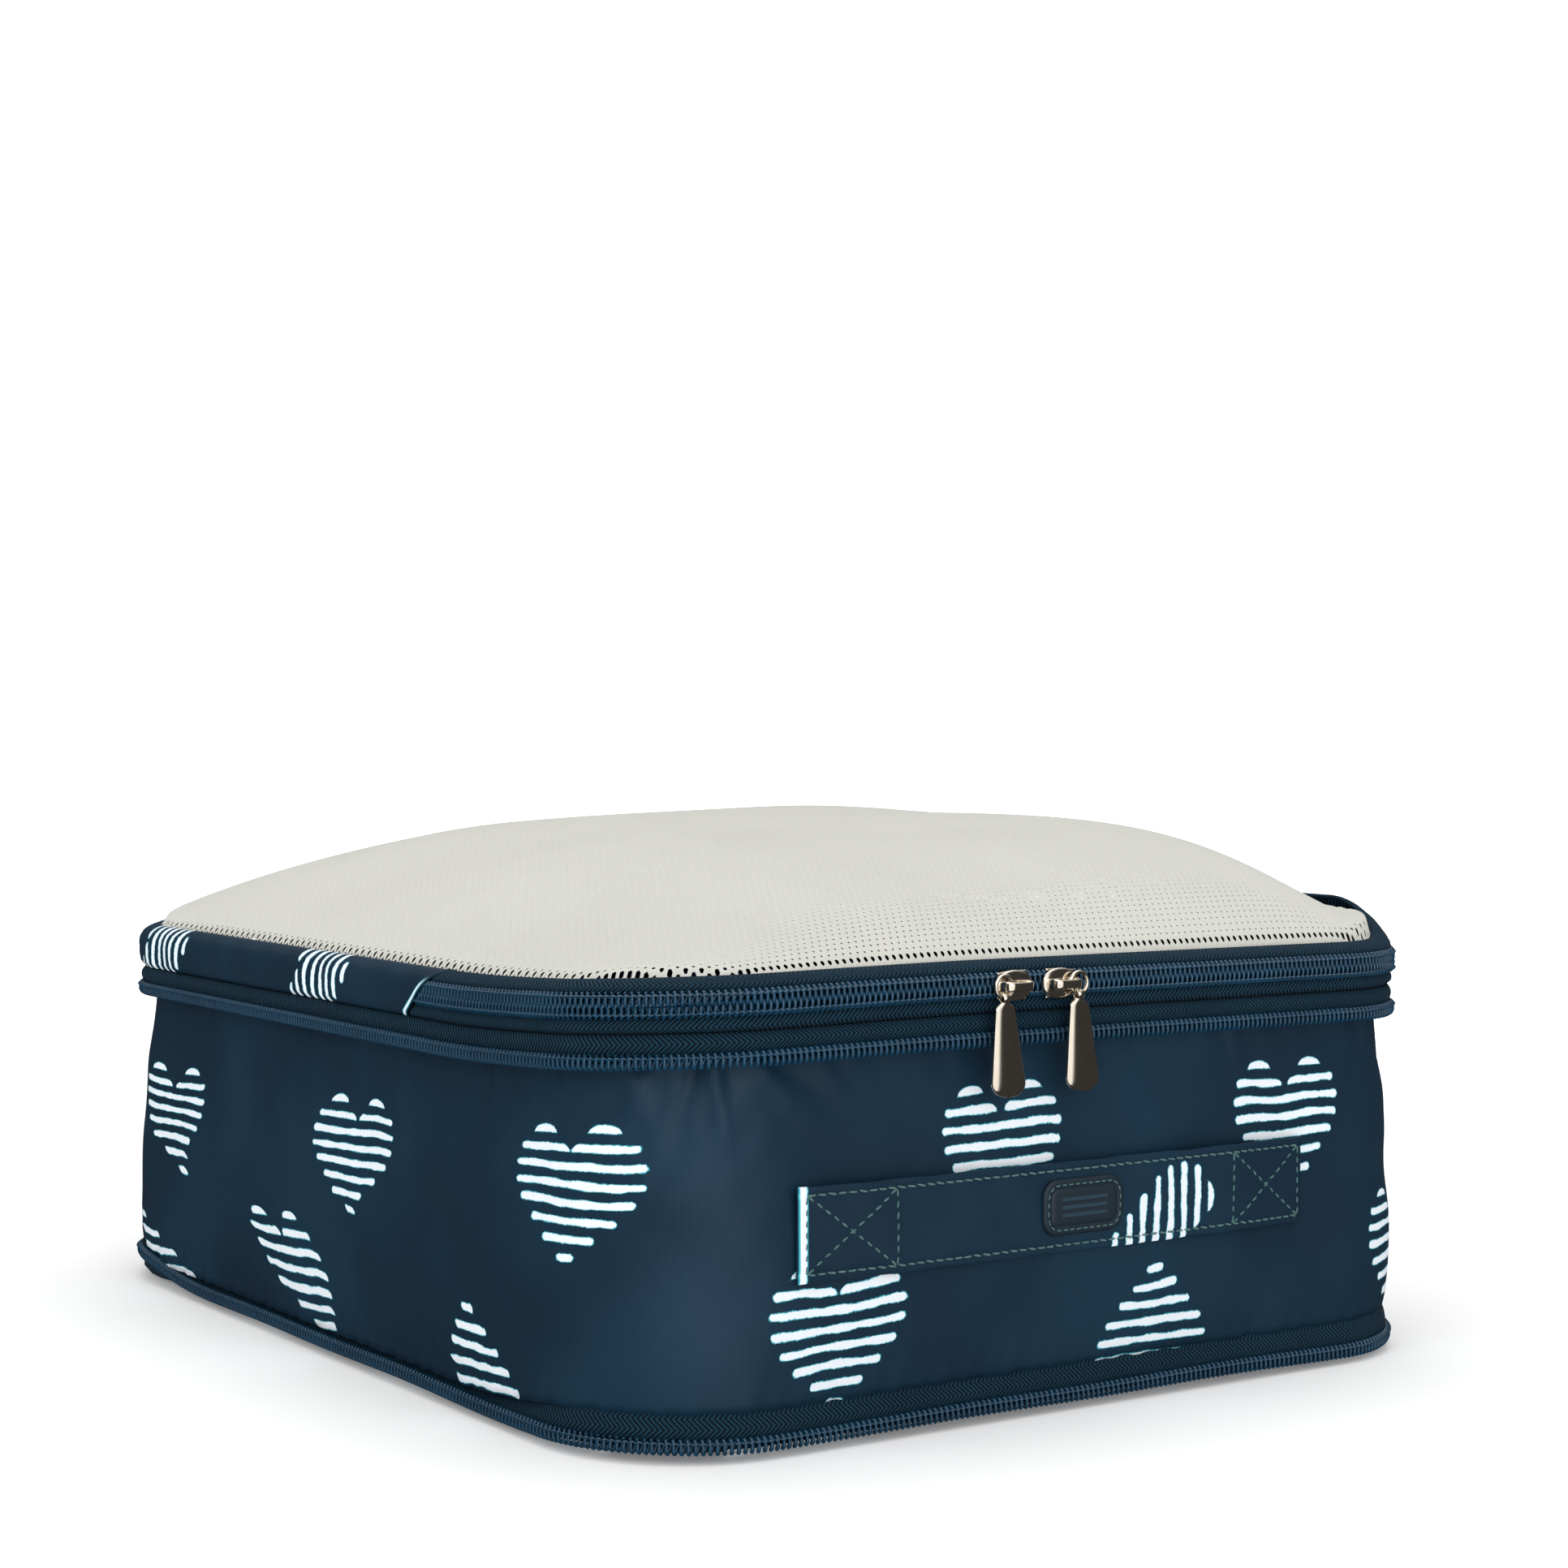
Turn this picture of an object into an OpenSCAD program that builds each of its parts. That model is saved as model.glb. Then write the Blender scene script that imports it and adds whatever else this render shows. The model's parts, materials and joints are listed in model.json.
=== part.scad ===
// Compression packing cube: a soft zipped case with a mesh top, a main zip round the front of
// the lid, and a second zip that pulls the upper frame down onto the base.
// Millimetres. The origin is the centre of the footprint, on the floor. +X runs along the
// handle side, the handle side faces -Y, and +Z is up.

/* [Case] */
// Width of the zip line across the handle side
case_w = 295; // [260:1:340]
// Depth of the zip line from the handle side to the back
case_d = 350; // [320:1:400]
// Radius of the rounded corners in plan
corner_r = 45; // [40:1:60]
// Height of the lower compression coil above the floor
low_coil_z = 4.5; // [4:0.5:6]
// Height of the upper compression coil above the lower one when the case is let out
expansion = 100; // [90:1:130]
// Height of the main zip above the upper compression coil
zip_rise = 14.5; // [14:0.5:18]
// How far the mesh top swells above its own rim
crown_h = 27; // [10:1:35]

/* [Zips] */
// Diameter of the compression zip's coil
coil_d = 2.6; // [2.2:0.1:2.8]
// Gap between the two rows of the main zip, where the slider's post runs
row_gap = 1; // [1:0.1:1.2]
// Distance from the handle side to the end of the main zip, along each side
zip_reach = 106; // [95:1:125]
// Place of the left main slider along the handle side
slider_left_x = -29; // [-60:1:-28]
// Place of the right main slider along the handle side
slider_right_x = -12; // [-12:1:40]
// Place of the compression slider along the back
slider_back_x = -76; // [-80:1:60]

/* [Handle] */
// Length of the handle strap
strap_l = 181; // [150:1:190]
// Width of the webbing-like strap
strap_w = 25; // [20:1:30]
// Height of the strap's lower edge above the floor
strap_z = 44.5; // [40:0.5:60]
// Place of the strap's middle along the handle side
strap_x = -7.5; // [-10:0.5:0]
// Length of the rubber badge
badge_l = 29; // [25:1:40]

/* [Pulls] */
// Length of a main zip pull from its eye to its round end
pull_l = 27; // [22:1:28]
// Length of the compression zip's pull
short_pull_l = 16; // [12:1:17]
// Width of a pull at its round end
pull_w = 10.4; // [8:0.2:11]
// Mean diameter of the ring between slider and pull
ring_d = 6; // [5.8:0.1:6.2]

/* [Hidden] */
$fn = 48;
fabric_t = 1;
seam_z = low_coil_z + 7.5;
comp_z = low_coil_z + expansion;
zip_z = comp_z + zip_rise;
coil_r = coil_d / 2;
row_r = 1.25;
low_row_z = zip_z - row_gap / 2 - row_r;
high_row_z = zip_z + row_gap / 2 + row_r;
tape_half = 0.4;
rim_in = 5.6;
rim_z = zip_z + 11.3;
wall_top = comp_z + 7.1;
fold_y = -case_d / 2 + zip_reach;
fold_gap = 0.6;
badge_shift = 4;
gusset_slope = 22 / 18;
join_x = -94;
join_w = 8;
plate_l = 13;
plate_w = 8.4;
plate_t = 0.9;
lift_gap = 1.3;
tunnel_h = 3.1;
bridge_l = 8.4;
bridge_w = 2.4;
foot_l = 1.3;
wire_r = 0.55;
wire_rise = 1.6;
ring_shift = 1.6;
eye_bore = 0.9;
eye_r = 1.3;
eye_l = 2.4;
pull_t = 1.8;
pull_lean = 4;
big = 600;

// ---- Shared shapes ----

// Carries a section once round the case. In the section, x is the distance outside the zip
// line and y is the height.
module loop() {
    for (i = [0 : 3]) {
        half = (i % 2 == 0 ? case_w : case_d) / 2;
        run = (i % 2 == 0 ? case_d : case_w) - 2 * corner_r;
        rotate([0, 0, 90 * i]) {
            translate([half, run / 2, 0]) rotate([90, 0, 0])
                linear_extrude(run) children();
            translate([half - corner_r, run / 2, 0])
                rotate_extrude(angle = 90) translate([corner_r, 0]) children();
        }
    }
}

// Rounded rectangle at a given distance inside the zip line
module plan(inset) {
    r = corner_r - inset;
    w = case_w / 2 - corner_r;
    d = case_d / 2 - corner_r;
    square([2 * w, 2 * (d + r)], center = true);
    square([2 * (w + r), 2 * d], center = true);
    for (sx = [-1, 1]) for (sy = [-1, 1]) translate([sx * w, sy * d]) circle(r);
}

// Everything on one side of the slanted line where the main zip ends. A side of -1 is the lid
// side and 1 is the gusset side, each held back by half of the fold's gap.
module zip_side(side) {
    slant_z = rim_z - 5;
    shift = side * fold_gap / 2;
    rotate([90, 0, 90]) translate([0, 0, -big / 2]) linear_extrude(big)
        polygon([[fold_y + shift + 60 * gusset_slope, slant_z - 60],
                 [fold_y + shift - 40 * gusset_slope, slant_z + 40],
                 [side * big, slant_z + 40],
                 [side * big, slant_z - 60]]);
}

// The short break in the back run, where the compression zip starts and ends
module join_break() {
    translate([join_x, case_d / 2, 0]) cube([join_w, 12, big], center = true);
}

// One row of coil, round in section
module coil_row(z, r) {
    loop() translate([0, z]) circle(r, $fn = 24);
}

// Height of the crowned mesh above its rim at a share u across and v along the case
function swell(u, v) = crown_h * (1 - pow(abs(u), 4)) * (1 - pow(abs(v), 5));
// Half width of the case inside the rim at a distance y from its middle
function half_width(y) =
    let (r = corner_r - rim_in, d = max(0, abs(y) - (case_d / 2 - corner_r)))
    case_w / 2 - corner_r + sqrt(max(0, r * r - d * d));

// Crowned sheet between two places along Y, as a closed solid
module crown(y0, y1) {
    nx = 20;
    ny = 16;
    half_d = case_d / 2 - rim_in;
    row = nx + 1;
    count = row * (ny + 1);
    points = [for (t = [0, fabric_t]) for (j = [0 : ny]) for (i = [0 : nx])
        let (y = y0 + (y1 - y0) * (1 - cos(180 * j / ny)) / 2, u = 2 * i / nx - 1)
        [u * half_width(y), y, rim_z + t + swell(u, y / half_d)]];
    top = [for (j = [0 : ny - 1]) for (i = [0 : nx - 1])
        let (a = count + j * row + i) [a, a + row, a + row + 1, a + 1]];
    under = [for (j = [0 : ny - 1]) for (i = [0 : nx - 1])
        let (a = j * row + i) [a, a + 1, a + row + 1, a + row]];
    ends = [for (i = [0 : nx - 1]) for (j = [0, ny])
        let (a = j * row + i)
        j == 0 ? [a, a + count, a + count + 1, a + 1]
               : [a, a + 1, a + count + 1, a + count]];
    edges = [for (j = [0 : ny - 1]) for (i = [0, nx])
        let (a = j * row + i)
        i == 0 ? [a, a + row, a + row + count, a + count]
               : [a, a + count, a + row + count, a + row]];
    polyhedron(concat(points), concat(top, under, ends, edges));
}

// ---- Base ----

module base_panel() {
    color("midnightblue") {
        linear_extrude(1.2) plan(9);
        loop() polygon([[-9.5, 0], [-8, 0], [-2, seam_z - 1.2], [-3.2, seam_z - 0.8],
                        [-8.6, 1.2], [-9.5, 1.2]]);
    }
}

module body_wall() {
    heights = [seam_z + 0.8, 35, 65, 90, comp_z - 4, comp_z + 2, wall_top];
    proud = [-1.4, -0.8, -1.8, -4.2, -4.8, -3.6, -1.5];
    n = len(heights);
    color("midnightblue") loop()
        polygon([for (i = [0 : 2 * n - 1])
            i < n ? [proud[i], heights[i]]
                  : [proud[2 * n - 1 - i] - fabric_t, heights[2 * n - 1 - i]]]);
}

module back_seam_binding() {
    color("darkslategray") translate([20, case_d / 2 - 7.6, seam_z + 4])
        cube([12, 0.8, comp_z - seam_z - 10]);
}

module base_seam_binding() {
    color("darkslategray") loop() translate([-6.4, seam_z - 0.4]) square([2.9, 1.6]);
}

module lower_compression_tape() {
    top = seam_z + 0.5;
    color("darkslategray") difference() {
        loop() polygon([[-1.6, top], [-0.8, top], [tape_half, low_coil_z + coil_r],
                        [-tape_half, low_coil_z + coil_r]]);
        join_break();
    }
}

module lower_compression_coil() {
    color("steelblue") difference() {
        coil_row(low_coil_z, coil_r);
        join_break();
    }
}

module insertion_pin() {
    color("slategray") translate([join_x, case_d / 2, low_coil_z])
        cube([join_w - 1, 1.8, 2], center = true);
}

module handle_strap() {
    steps = 16;
    lift = 1.6;
    back_y = -case_d / 2 + 0.4;
    bow = [for (i = [0 : steps]) let (s = 2 * i / steps - 1)
        [s * strap_l / 2, -lift * (1 - pow(s, 6))]];
    outline = concat([for (p = bow) [p[0], back_y + p[1]]],
                     [for (i = [steps : -1 : 0]) [bow[i][0], back_y - 1.6 + bow[i][1]]]);
    color("midnightblue") translate([strap_x, 0, strap_z])
        linear_extrude(strap_w) polygon(outline);
}

module handle_badge() {
    badge_w = badge_l / 2;
    badge_y = -case_d / 2 - 3;
    corner = 3.5;
    color("darkslategray") translate([strap_x + badge_shift, badge_y, strap_z + strap_w / 2])
        rotate([90, 0, 0]) linear_extrude(1.6) {
            square([badge_l - 2 * corner, badge_w], center = true);
            square([badge_l, badge_w - 2 * corner], center = true);
            for (sx = [-1, 1]) for (sz = [-1, 1])
                translate([sx * (badge_l / 2 - corner), sz * (badge_w / 2 - corner)])
                    circle(corner);
        }
}

// ---- Upper frame ----

module upper_compression_tape() {
    color("darkslategray") difference() {
        loop() translate([-tape_half, comp_z + coil_r])
            square([2 * tape_half, zip_z - 7.5 - comp_z - coil_r]);
        join_break();
    }
}

module upper_compression_coil() {
    color("steelblue") difference() {
        coil_row(comp_z, coil_r);
        join_break();
    }
}

module retainer_box() {
    color("slategray") translate([join_x, case_d / 2, comp_z - 0.6])
        cube([join_w - 2, 3.4, 3.8], center = true);
}

module main_zip_lower_tape() {
    bottom = zip_z - 7.3;
    color("darkslategray") intersection() {
        loop() translate([-tape_half, bottom])
            square([2 * tape_half, low_row_z - row_r - bottom]);
        zip_side(-1);
    }
}

module main_zip_lower_coil() {
    color("steelblue") intersection() {
        coil_row(low_row_z, row_r);
        zip_side(-1);
    }
}

module rear_gusset() {
    bottom = zip_z - 7.3;
    bend = rim_z - 6.4;
    color("midnightblue") intersection() {
        loop() polygon([[-tape_half, bottom], [tape_half, bottom], [tape_half, bend],
                        [-5.3, rim_z - 0.3], [-6, rim_z - 1], [-tape_half, bend - 0.6]]);
        zip_side(1);
    }
}

module rear_mesh() {
    color("gainsboro") crown(fold_y + fold_gap / 2, case_d / 2 - rim_in - 0.1);
}

module frame_seam_binding() {
    color("darkslategray") loop() translate([-4, wall_top + 0.4]) square([3.3, 1.6]);
}

// ---- Lid ----

module lid_mesh() {
    color("gainsboro") crown(-case_d / 2 + rim_in + 0.1, fold_y - fold_gap / 2);
}

module main_zip_upper_tape() {
    bottom = high_row_z + row_r;
    bend = rim_z - 6.4;
    color("darkslategray") intersection() {
        loop() polygon([[-tape_half, bottom], [tape_half, bottom], [tape_half, bend],
                        [-5.3, rim_z - 0.3], [-6, rim_z - 1], [-tape_half, bend - 0.6]]);
        zip_side(-1);
    }
}

module main_zip_upper_coil() {
    color("steelblue") intersection() {
        coil_row(high_row_z, row_r);
        zip_side(-1);
    }
}

module lid_seam_binding() {
    color("darkslategray") intersection() {
        loop() translate([-7.6, rim_z - 3.6]) square([1.4, 3.2]);
        translate([-big / 2, fold_y - 12 - big, 0]) cube([big, big, big]);
    }
}

// ---- Sliders, rings and pulls ----
// Each is drawn at the origin for the middle of its chain, with its face towards -Y, and the
// ring lying to the side that hand points to.

module slider_plate(l, w) {
    corner = 3.6;
    square([l - 2 * corner, w], center = true);
    square([l, w - 2 * corner], center = true);
    for (sx = [-1, 1]) for (sz = [-1, 1])
        translate([sx * (l / 2 - corner), sz * (w / 2 - corner)]) circle(corner);
}

module slider() {
    face = row_r + lift_gap;
    bridge_y = face + plate_t + tunnel_h;
    color("silver") {
        rotate([90, 0, 0]) translate([0, 0, face]) linear_extrude(plate_t)
            slider_plate(plate_l, plate_w);
        rotate([90, 0, 0]) translate([0, 0, -row_r - 1.3]) linear_extrude(plate_t)
            slider_plate(plate_l, plate_w);
        translate([-1, -face - plate_t / 2, -0.3])
            cube([2, face + plate_t + row_r + 0.8, 0.6]);
        translate([-bridge_l / 2, -bridge_y - 0.9, -bridge_w / 2])
            cube([bridge_l, 0.9, bridge_w]);
        for (side = [-1, 1])
            translate([side * (bridge_l - foot_l) / 2 - foot_l / 2, -bridge_y - 0.4, -bridge_w / 2])
                cube([foot_l, tunnel_h + 0.8, bridge_w]);
    }
}

ring_y = -(row_r + lift_gap + plate_t + wire_rise);

module ring(hand) {
    color("silver") translate([hand * (ring_shift + ring_d / 2), ring_y, 0])
        rotate([90, 0, 0]) rotate_extrude() translate([ring_d / 2, 0]) circle(wire_r, $fn = 24);
}

module pull(hand, length) {
    width = min(pull_w, length * 0.5);
    neck = 3.6;
    neck_z = -eye_r - 1.2;
    color("silver") translate([hand * (ring_shift + ring_d / 2), ring_y, -ring_d / 2])
        difference() {
            union() {
                rotate([0, 90, 0]) cylinder(h = eye_l, r = eye_r, center = true);
                translate([-eye_l / 2, -pull_t / 2, neck_z]) cube([eye_l, pull_t, -neck_z]);
                rotate([90, -pull_lean, 0]) linear_extrude(pull_t, center = true) hull() {
                    translate([0, -eye_r - neck / 2 - 0.1]) circle(neck / 2);
                    translate([0, -length + width / 2]) circle(width / 2);
                }
            }
            rotate([0, 90, 0]) cylinder(h = eye_l + 2, r = eye_bore, center = true);
        }
}

module at_front(x) translate([x, -case_d / 2, zip_z]) children();
module at_back() translate([slider_back_x, case_d / 2, comp_z - 2.1]) rotate([0, 0, 180]) children();

module slider_left() at_front(slider_left_x) slider();
module slider_right() at_front(slider_right_x) slider();
module compression_slider() at_back() slider();
module ring_left() at_front(slider_left_x) ring(-1);
module ring_right() at_front(slider_right_x) ring(1);
module compression_ring() at_back() ring(-1);
module pull_left() at_front(slider_left_x) pull(-1, pull_l);
module pull_right() at_front(slider_right_x) pull(1, pull_l);
module compression_pull() at_back() pull(-1, short_pull_l);

base_panel();
body_wall();
back_seam_binding();
base_seam_binding();
lower_compression_tape();
lower_compression_coil();
insertion_pin();
handle_strap();
handle_badge();
upper_compression_tape();
upper_compression_coil();
retainer_box();
main_zip_lower_tape();
main_zip_lower_coil();
rear_gusset();
rear_mesh();
frame_seam_binding();
lid_mesh();
main_zip_upper_tape();
main_zip_upper_coil();
lid_seam_binding();
slider_left();
slider_right();
compression_slider();
ring_left();
ring_right();
compression_ring();
pull_left();
pull_right();
compression_pull();
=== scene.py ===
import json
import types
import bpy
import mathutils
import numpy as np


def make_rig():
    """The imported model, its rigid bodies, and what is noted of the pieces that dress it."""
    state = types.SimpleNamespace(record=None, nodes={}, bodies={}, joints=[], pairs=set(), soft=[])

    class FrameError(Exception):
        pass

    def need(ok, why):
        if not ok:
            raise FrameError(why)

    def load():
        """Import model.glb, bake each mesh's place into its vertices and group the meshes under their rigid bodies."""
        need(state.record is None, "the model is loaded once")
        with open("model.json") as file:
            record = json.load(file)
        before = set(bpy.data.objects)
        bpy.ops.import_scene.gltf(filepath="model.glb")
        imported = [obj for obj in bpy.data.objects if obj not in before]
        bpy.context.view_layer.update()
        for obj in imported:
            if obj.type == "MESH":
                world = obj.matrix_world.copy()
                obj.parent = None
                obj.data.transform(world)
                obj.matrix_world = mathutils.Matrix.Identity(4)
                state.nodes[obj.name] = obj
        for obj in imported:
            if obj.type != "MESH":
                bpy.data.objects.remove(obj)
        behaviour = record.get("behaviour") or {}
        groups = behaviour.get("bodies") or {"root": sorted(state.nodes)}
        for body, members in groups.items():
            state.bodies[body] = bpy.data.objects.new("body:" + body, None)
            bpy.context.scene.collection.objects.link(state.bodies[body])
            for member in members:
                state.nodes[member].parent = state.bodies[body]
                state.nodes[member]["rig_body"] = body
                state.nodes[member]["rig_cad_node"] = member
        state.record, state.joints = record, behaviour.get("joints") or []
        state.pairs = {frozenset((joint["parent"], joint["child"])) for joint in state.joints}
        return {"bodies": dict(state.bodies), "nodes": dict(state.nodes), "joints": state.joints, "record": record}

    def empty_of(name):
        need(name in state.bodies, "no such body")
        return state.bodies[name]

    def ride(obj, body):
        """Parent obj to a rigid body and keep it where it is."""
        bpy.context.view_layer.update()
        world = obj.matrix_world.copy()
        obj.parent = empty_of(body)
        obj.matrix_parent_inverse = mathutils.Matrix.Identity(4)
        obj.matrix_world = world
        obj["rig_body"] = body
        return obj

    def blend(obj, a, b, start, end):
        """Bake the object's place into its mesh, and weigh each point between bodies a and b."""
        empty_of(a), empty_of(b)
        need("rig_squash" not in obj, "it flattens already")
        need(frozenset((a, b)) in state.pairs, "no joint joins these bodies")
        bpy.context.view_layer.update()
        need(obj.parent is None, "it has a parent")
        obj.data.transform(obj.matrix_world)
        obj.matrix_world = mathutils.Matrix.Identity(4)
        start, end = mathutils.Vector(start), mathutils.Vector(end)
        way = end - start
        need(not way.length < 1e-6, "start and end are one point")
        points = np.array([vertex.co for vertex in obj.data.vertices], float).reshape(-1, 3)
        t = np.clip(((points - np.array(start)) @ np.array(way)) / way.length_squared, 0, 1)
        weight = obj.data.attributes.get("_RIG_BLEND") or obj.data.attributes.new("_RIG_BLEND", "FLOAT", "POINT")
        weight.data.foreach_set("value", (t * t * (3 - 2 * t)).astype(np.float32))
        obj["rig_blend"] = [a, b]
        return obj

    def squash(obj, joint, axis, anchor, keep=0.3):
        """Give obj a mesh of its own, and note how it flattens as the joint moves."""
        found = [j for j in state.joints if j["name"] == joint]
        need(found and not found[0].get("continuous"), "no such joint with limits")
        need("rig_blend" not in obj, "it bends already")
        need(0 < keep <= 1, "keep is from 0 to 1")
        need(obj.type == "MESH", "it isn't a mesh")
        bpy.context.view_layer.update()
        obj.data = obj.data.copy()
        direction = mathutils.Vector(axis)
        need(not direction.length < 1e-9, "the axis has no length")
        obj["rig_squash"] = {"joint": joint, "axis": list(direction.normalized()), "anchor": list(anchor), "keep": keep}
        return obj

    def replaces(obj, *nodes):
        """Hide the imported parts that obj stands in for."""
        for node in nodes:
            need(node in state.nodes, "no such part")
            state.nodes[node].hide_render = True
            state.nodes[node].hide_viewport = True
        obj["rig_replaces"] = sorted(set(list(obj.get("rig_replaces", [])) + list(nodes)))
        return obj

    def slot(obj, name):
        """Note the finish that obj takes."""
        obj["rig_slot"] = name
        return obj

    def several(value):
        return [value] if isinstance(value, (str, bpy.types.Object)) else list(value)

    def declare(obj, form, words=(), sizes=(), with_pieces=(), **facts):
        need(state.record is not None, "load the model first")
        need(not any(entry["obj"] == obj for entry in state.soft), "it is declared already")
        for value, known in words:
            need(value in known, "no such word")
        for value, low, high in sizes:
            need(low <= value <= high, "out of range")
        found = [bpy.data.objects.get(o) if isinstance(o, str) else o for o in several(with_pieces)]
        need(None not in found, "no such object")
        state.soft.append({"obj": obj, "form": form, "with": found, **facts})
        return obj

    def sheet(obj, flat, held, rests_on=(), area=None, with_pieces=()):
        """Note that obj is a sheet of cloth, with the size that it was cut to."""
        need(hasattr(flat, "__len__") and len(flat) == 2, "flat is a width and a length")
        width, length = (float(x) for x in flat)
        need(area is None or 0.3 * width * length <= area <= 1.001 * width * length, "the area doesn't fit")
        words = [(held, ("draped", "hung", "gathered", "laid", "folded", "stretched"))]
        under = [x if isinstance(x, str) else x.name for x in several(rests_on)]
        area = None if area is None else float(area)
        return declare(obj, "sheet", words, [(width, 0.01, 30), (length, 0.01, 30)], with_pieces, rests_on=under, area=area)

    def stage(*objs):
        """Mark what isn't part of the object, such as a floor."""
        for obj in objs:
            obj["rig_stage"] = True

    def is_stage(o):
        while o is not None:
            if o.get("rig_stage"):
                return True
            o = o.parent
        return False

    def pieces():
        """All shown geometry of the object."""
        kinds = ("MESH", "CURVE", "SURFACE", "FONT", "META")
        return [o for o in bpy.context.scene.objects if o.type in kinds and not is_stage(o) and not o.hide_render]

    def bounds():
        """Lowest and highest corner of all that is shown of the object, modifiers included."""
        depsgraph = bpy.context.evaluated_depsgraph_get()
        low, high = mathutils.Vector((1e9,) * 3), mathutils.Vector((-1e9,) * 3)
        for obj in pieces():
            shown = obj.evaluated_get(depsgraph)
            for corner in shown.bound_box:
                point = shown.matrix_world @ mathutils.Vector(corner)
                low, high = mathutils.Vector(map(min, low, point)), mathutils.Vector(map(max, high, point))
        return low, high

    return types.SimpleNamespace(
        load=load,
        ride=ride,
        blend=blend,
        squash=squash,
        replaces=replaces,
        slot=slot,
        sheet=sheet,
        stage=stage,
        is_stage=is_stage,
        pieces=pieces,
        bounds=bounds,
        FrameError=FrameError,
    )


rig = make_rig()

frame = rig.load()
CAD_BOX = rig.bounds()

import json
import math

import bmesh
import bpy
import numpy as np
from mathutils import Matrix, Vector

# ------------ sizes, in millimetres
MM = 0.001
CASE_W, CASE_D, CORNER = 295.0, 350.0, 45.0
HALF_X, HALF_Y = CASE_W / 2, CASE_D / 2
FRONT_RUN, SIDE_RUN = HALF_X - CORNER, HALF_Y - CORNER
ARC = math.pi / 2 * CORNER
HALF_LOOP = 2 * FRONT_RUN + 2 * SIDE_RUN + 2 * ARC
LOW_Z, SEAM_Z, COMP_Z, ZIP_Z = 4.5, 12.0, 104.5, 119.0
RIM_Z, RIM_IN, CROWN_H = 130.3, 5.6, 27.0
NET_Z = 125.3
FOLD_Y = -HALF_Y + 106.0
SLOPE = 22 / 18
SLANT_Z = RIM_Z - 5
LEFT_X, RIGHT_X, BACK_X = -29.0, -12.0, -76.0
STRAP_X, STRAP_Z, STRAP_L, STRAP_W = -7.5, 44.5, 181.0, 25.0
BADGE_X, BADGE_L, BADGE_H = -3.5, 29.0, 15.5
JOIN_X, JOIN_W = -94.0, 8.0
PITCH = 1.84
SKY_SOFT = 0.62
rng = np.random.RandomState(7)


# ------------ the line round the case
def wrap(s):
    """Arc length brought to within half a loop of the middle of the handle side."""
    return (np.asarray(s, float) + HALF_LOOP) % (2 * HALF_LOOP) - HALF_LOOP


def on_path(s):
    """Place and outward direction, s mm round the zip line from the middle of the handle side."""
    s = wrap(s)
    sign = np.where(s < 0, -1.0, 1.0)
    t = np.abs(s)
    near, far = FRONT_RUN, FRONT_RUN + ARC + 2 * SIDE_RUN
    turn = (np.clip(t - near, 0, ARC) + np.clip(t - far, 0, ARC)) / CORNER
    nx, ny = np.sin(turn), -np.cos(turn)
    x = CORNER * nx + np.minimum(t, near) - np.clip(t - far - ARC, 0, None)
    y = CORNER * ny - SIDE_RUN + np.clip(t - near - ARC, 0, 2 * SIDE_RUN)
    return np.stack([x * sign, y], -1), np.stack([nx * sign, ny], -1)


def smooth(a, b, x):
    t = np.clip((np.asarray(x, float) - a) / (b - a), 0, 1)
    return t * t * (3 - 2 * t)


def bell(x, width):
    return np.exp(-(x / width) ** 2)


def fade(x, length):
    """1 up to x = 0, and dying away past it."""
    return np.exp(-np.clip(x, 0, None) / length)


def droop(x, y):
    """How far the soft top sinks towards the far left corner, in mm."""
    start = -30 - 65 * smooth(110, 160, y)
    return 5.8 * smooth(0, 1, (x - start) / (-142 - start)) * smooth(-215, -70, y)


def raised(x, y):
    """How far the lid's edge stands up at the front right corner, in mm."""
    turn = smooth(108, 138, x) * smooth(-172, -128, y)
    return 11.2 * turn * (1 - smooth(-95, 30, y))


def points(x, y, z):
    return np.stack(np.broadcast_arrays(x, y, z), -1)


def place(s, out, z):
    """Points at arc length s, out mm outside the zip line, at height z."""
    p, n = on_path(s)
    x, y = p[..., 0], p[..., 1]
    out = np.broadcast_to(out, np.shape(s))
    z = np.broadcast_to(z, np.shape(s))
    z = z - droop(x, y) * smooth(40, 104, z) + raised(x, y) * smooth(121, 126, z)
    return points(x + n[..., 0] * out, y + n[..., 1] * out, z)


def s_at_y(y):
    """Arc length on the +X side where the side wall passes y."""
    return FRONT_RUN + ARC + (y + SIDE_RUN)


def noise1(s, seed, wave):
    """Smooth 1-D noise from a few sines with fixed phases."""
    r = np.random.RandomState(seed)
    total = 0
    for k in range(5):
        turns = np.asarray(s, float) / (wave * (0.6 + 0.35 * k))
        total = total + np.sin(2 * np.pi * turns + r.rand() * 6.28) / (1 + 0.5 * k)
    return total / 2.2


def noise2(s, z, seed, ws, wz):
    """Smooth 2-D noise, with waves about ws long and wz high."""
    r = np.random.RandomState(seed)
    total = 0
    for _ in range(7):
        a, b = r.uniform(-1, 1, 2)
        turns = s / ws * (1 + 0.5 * a) + z / wz * (1 + b) * np.sign(a)
        total = total + np.sin(2 * np.pi * turns + r.rand() * 6.28)
    return total / 3.5


# ------------ mesh helpers
def in_scene(name, data):
    obj = bpy.data.objects.new(name, data)
    bpy.context.scene.collection.objects.link(obj)
    return obj


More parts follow.
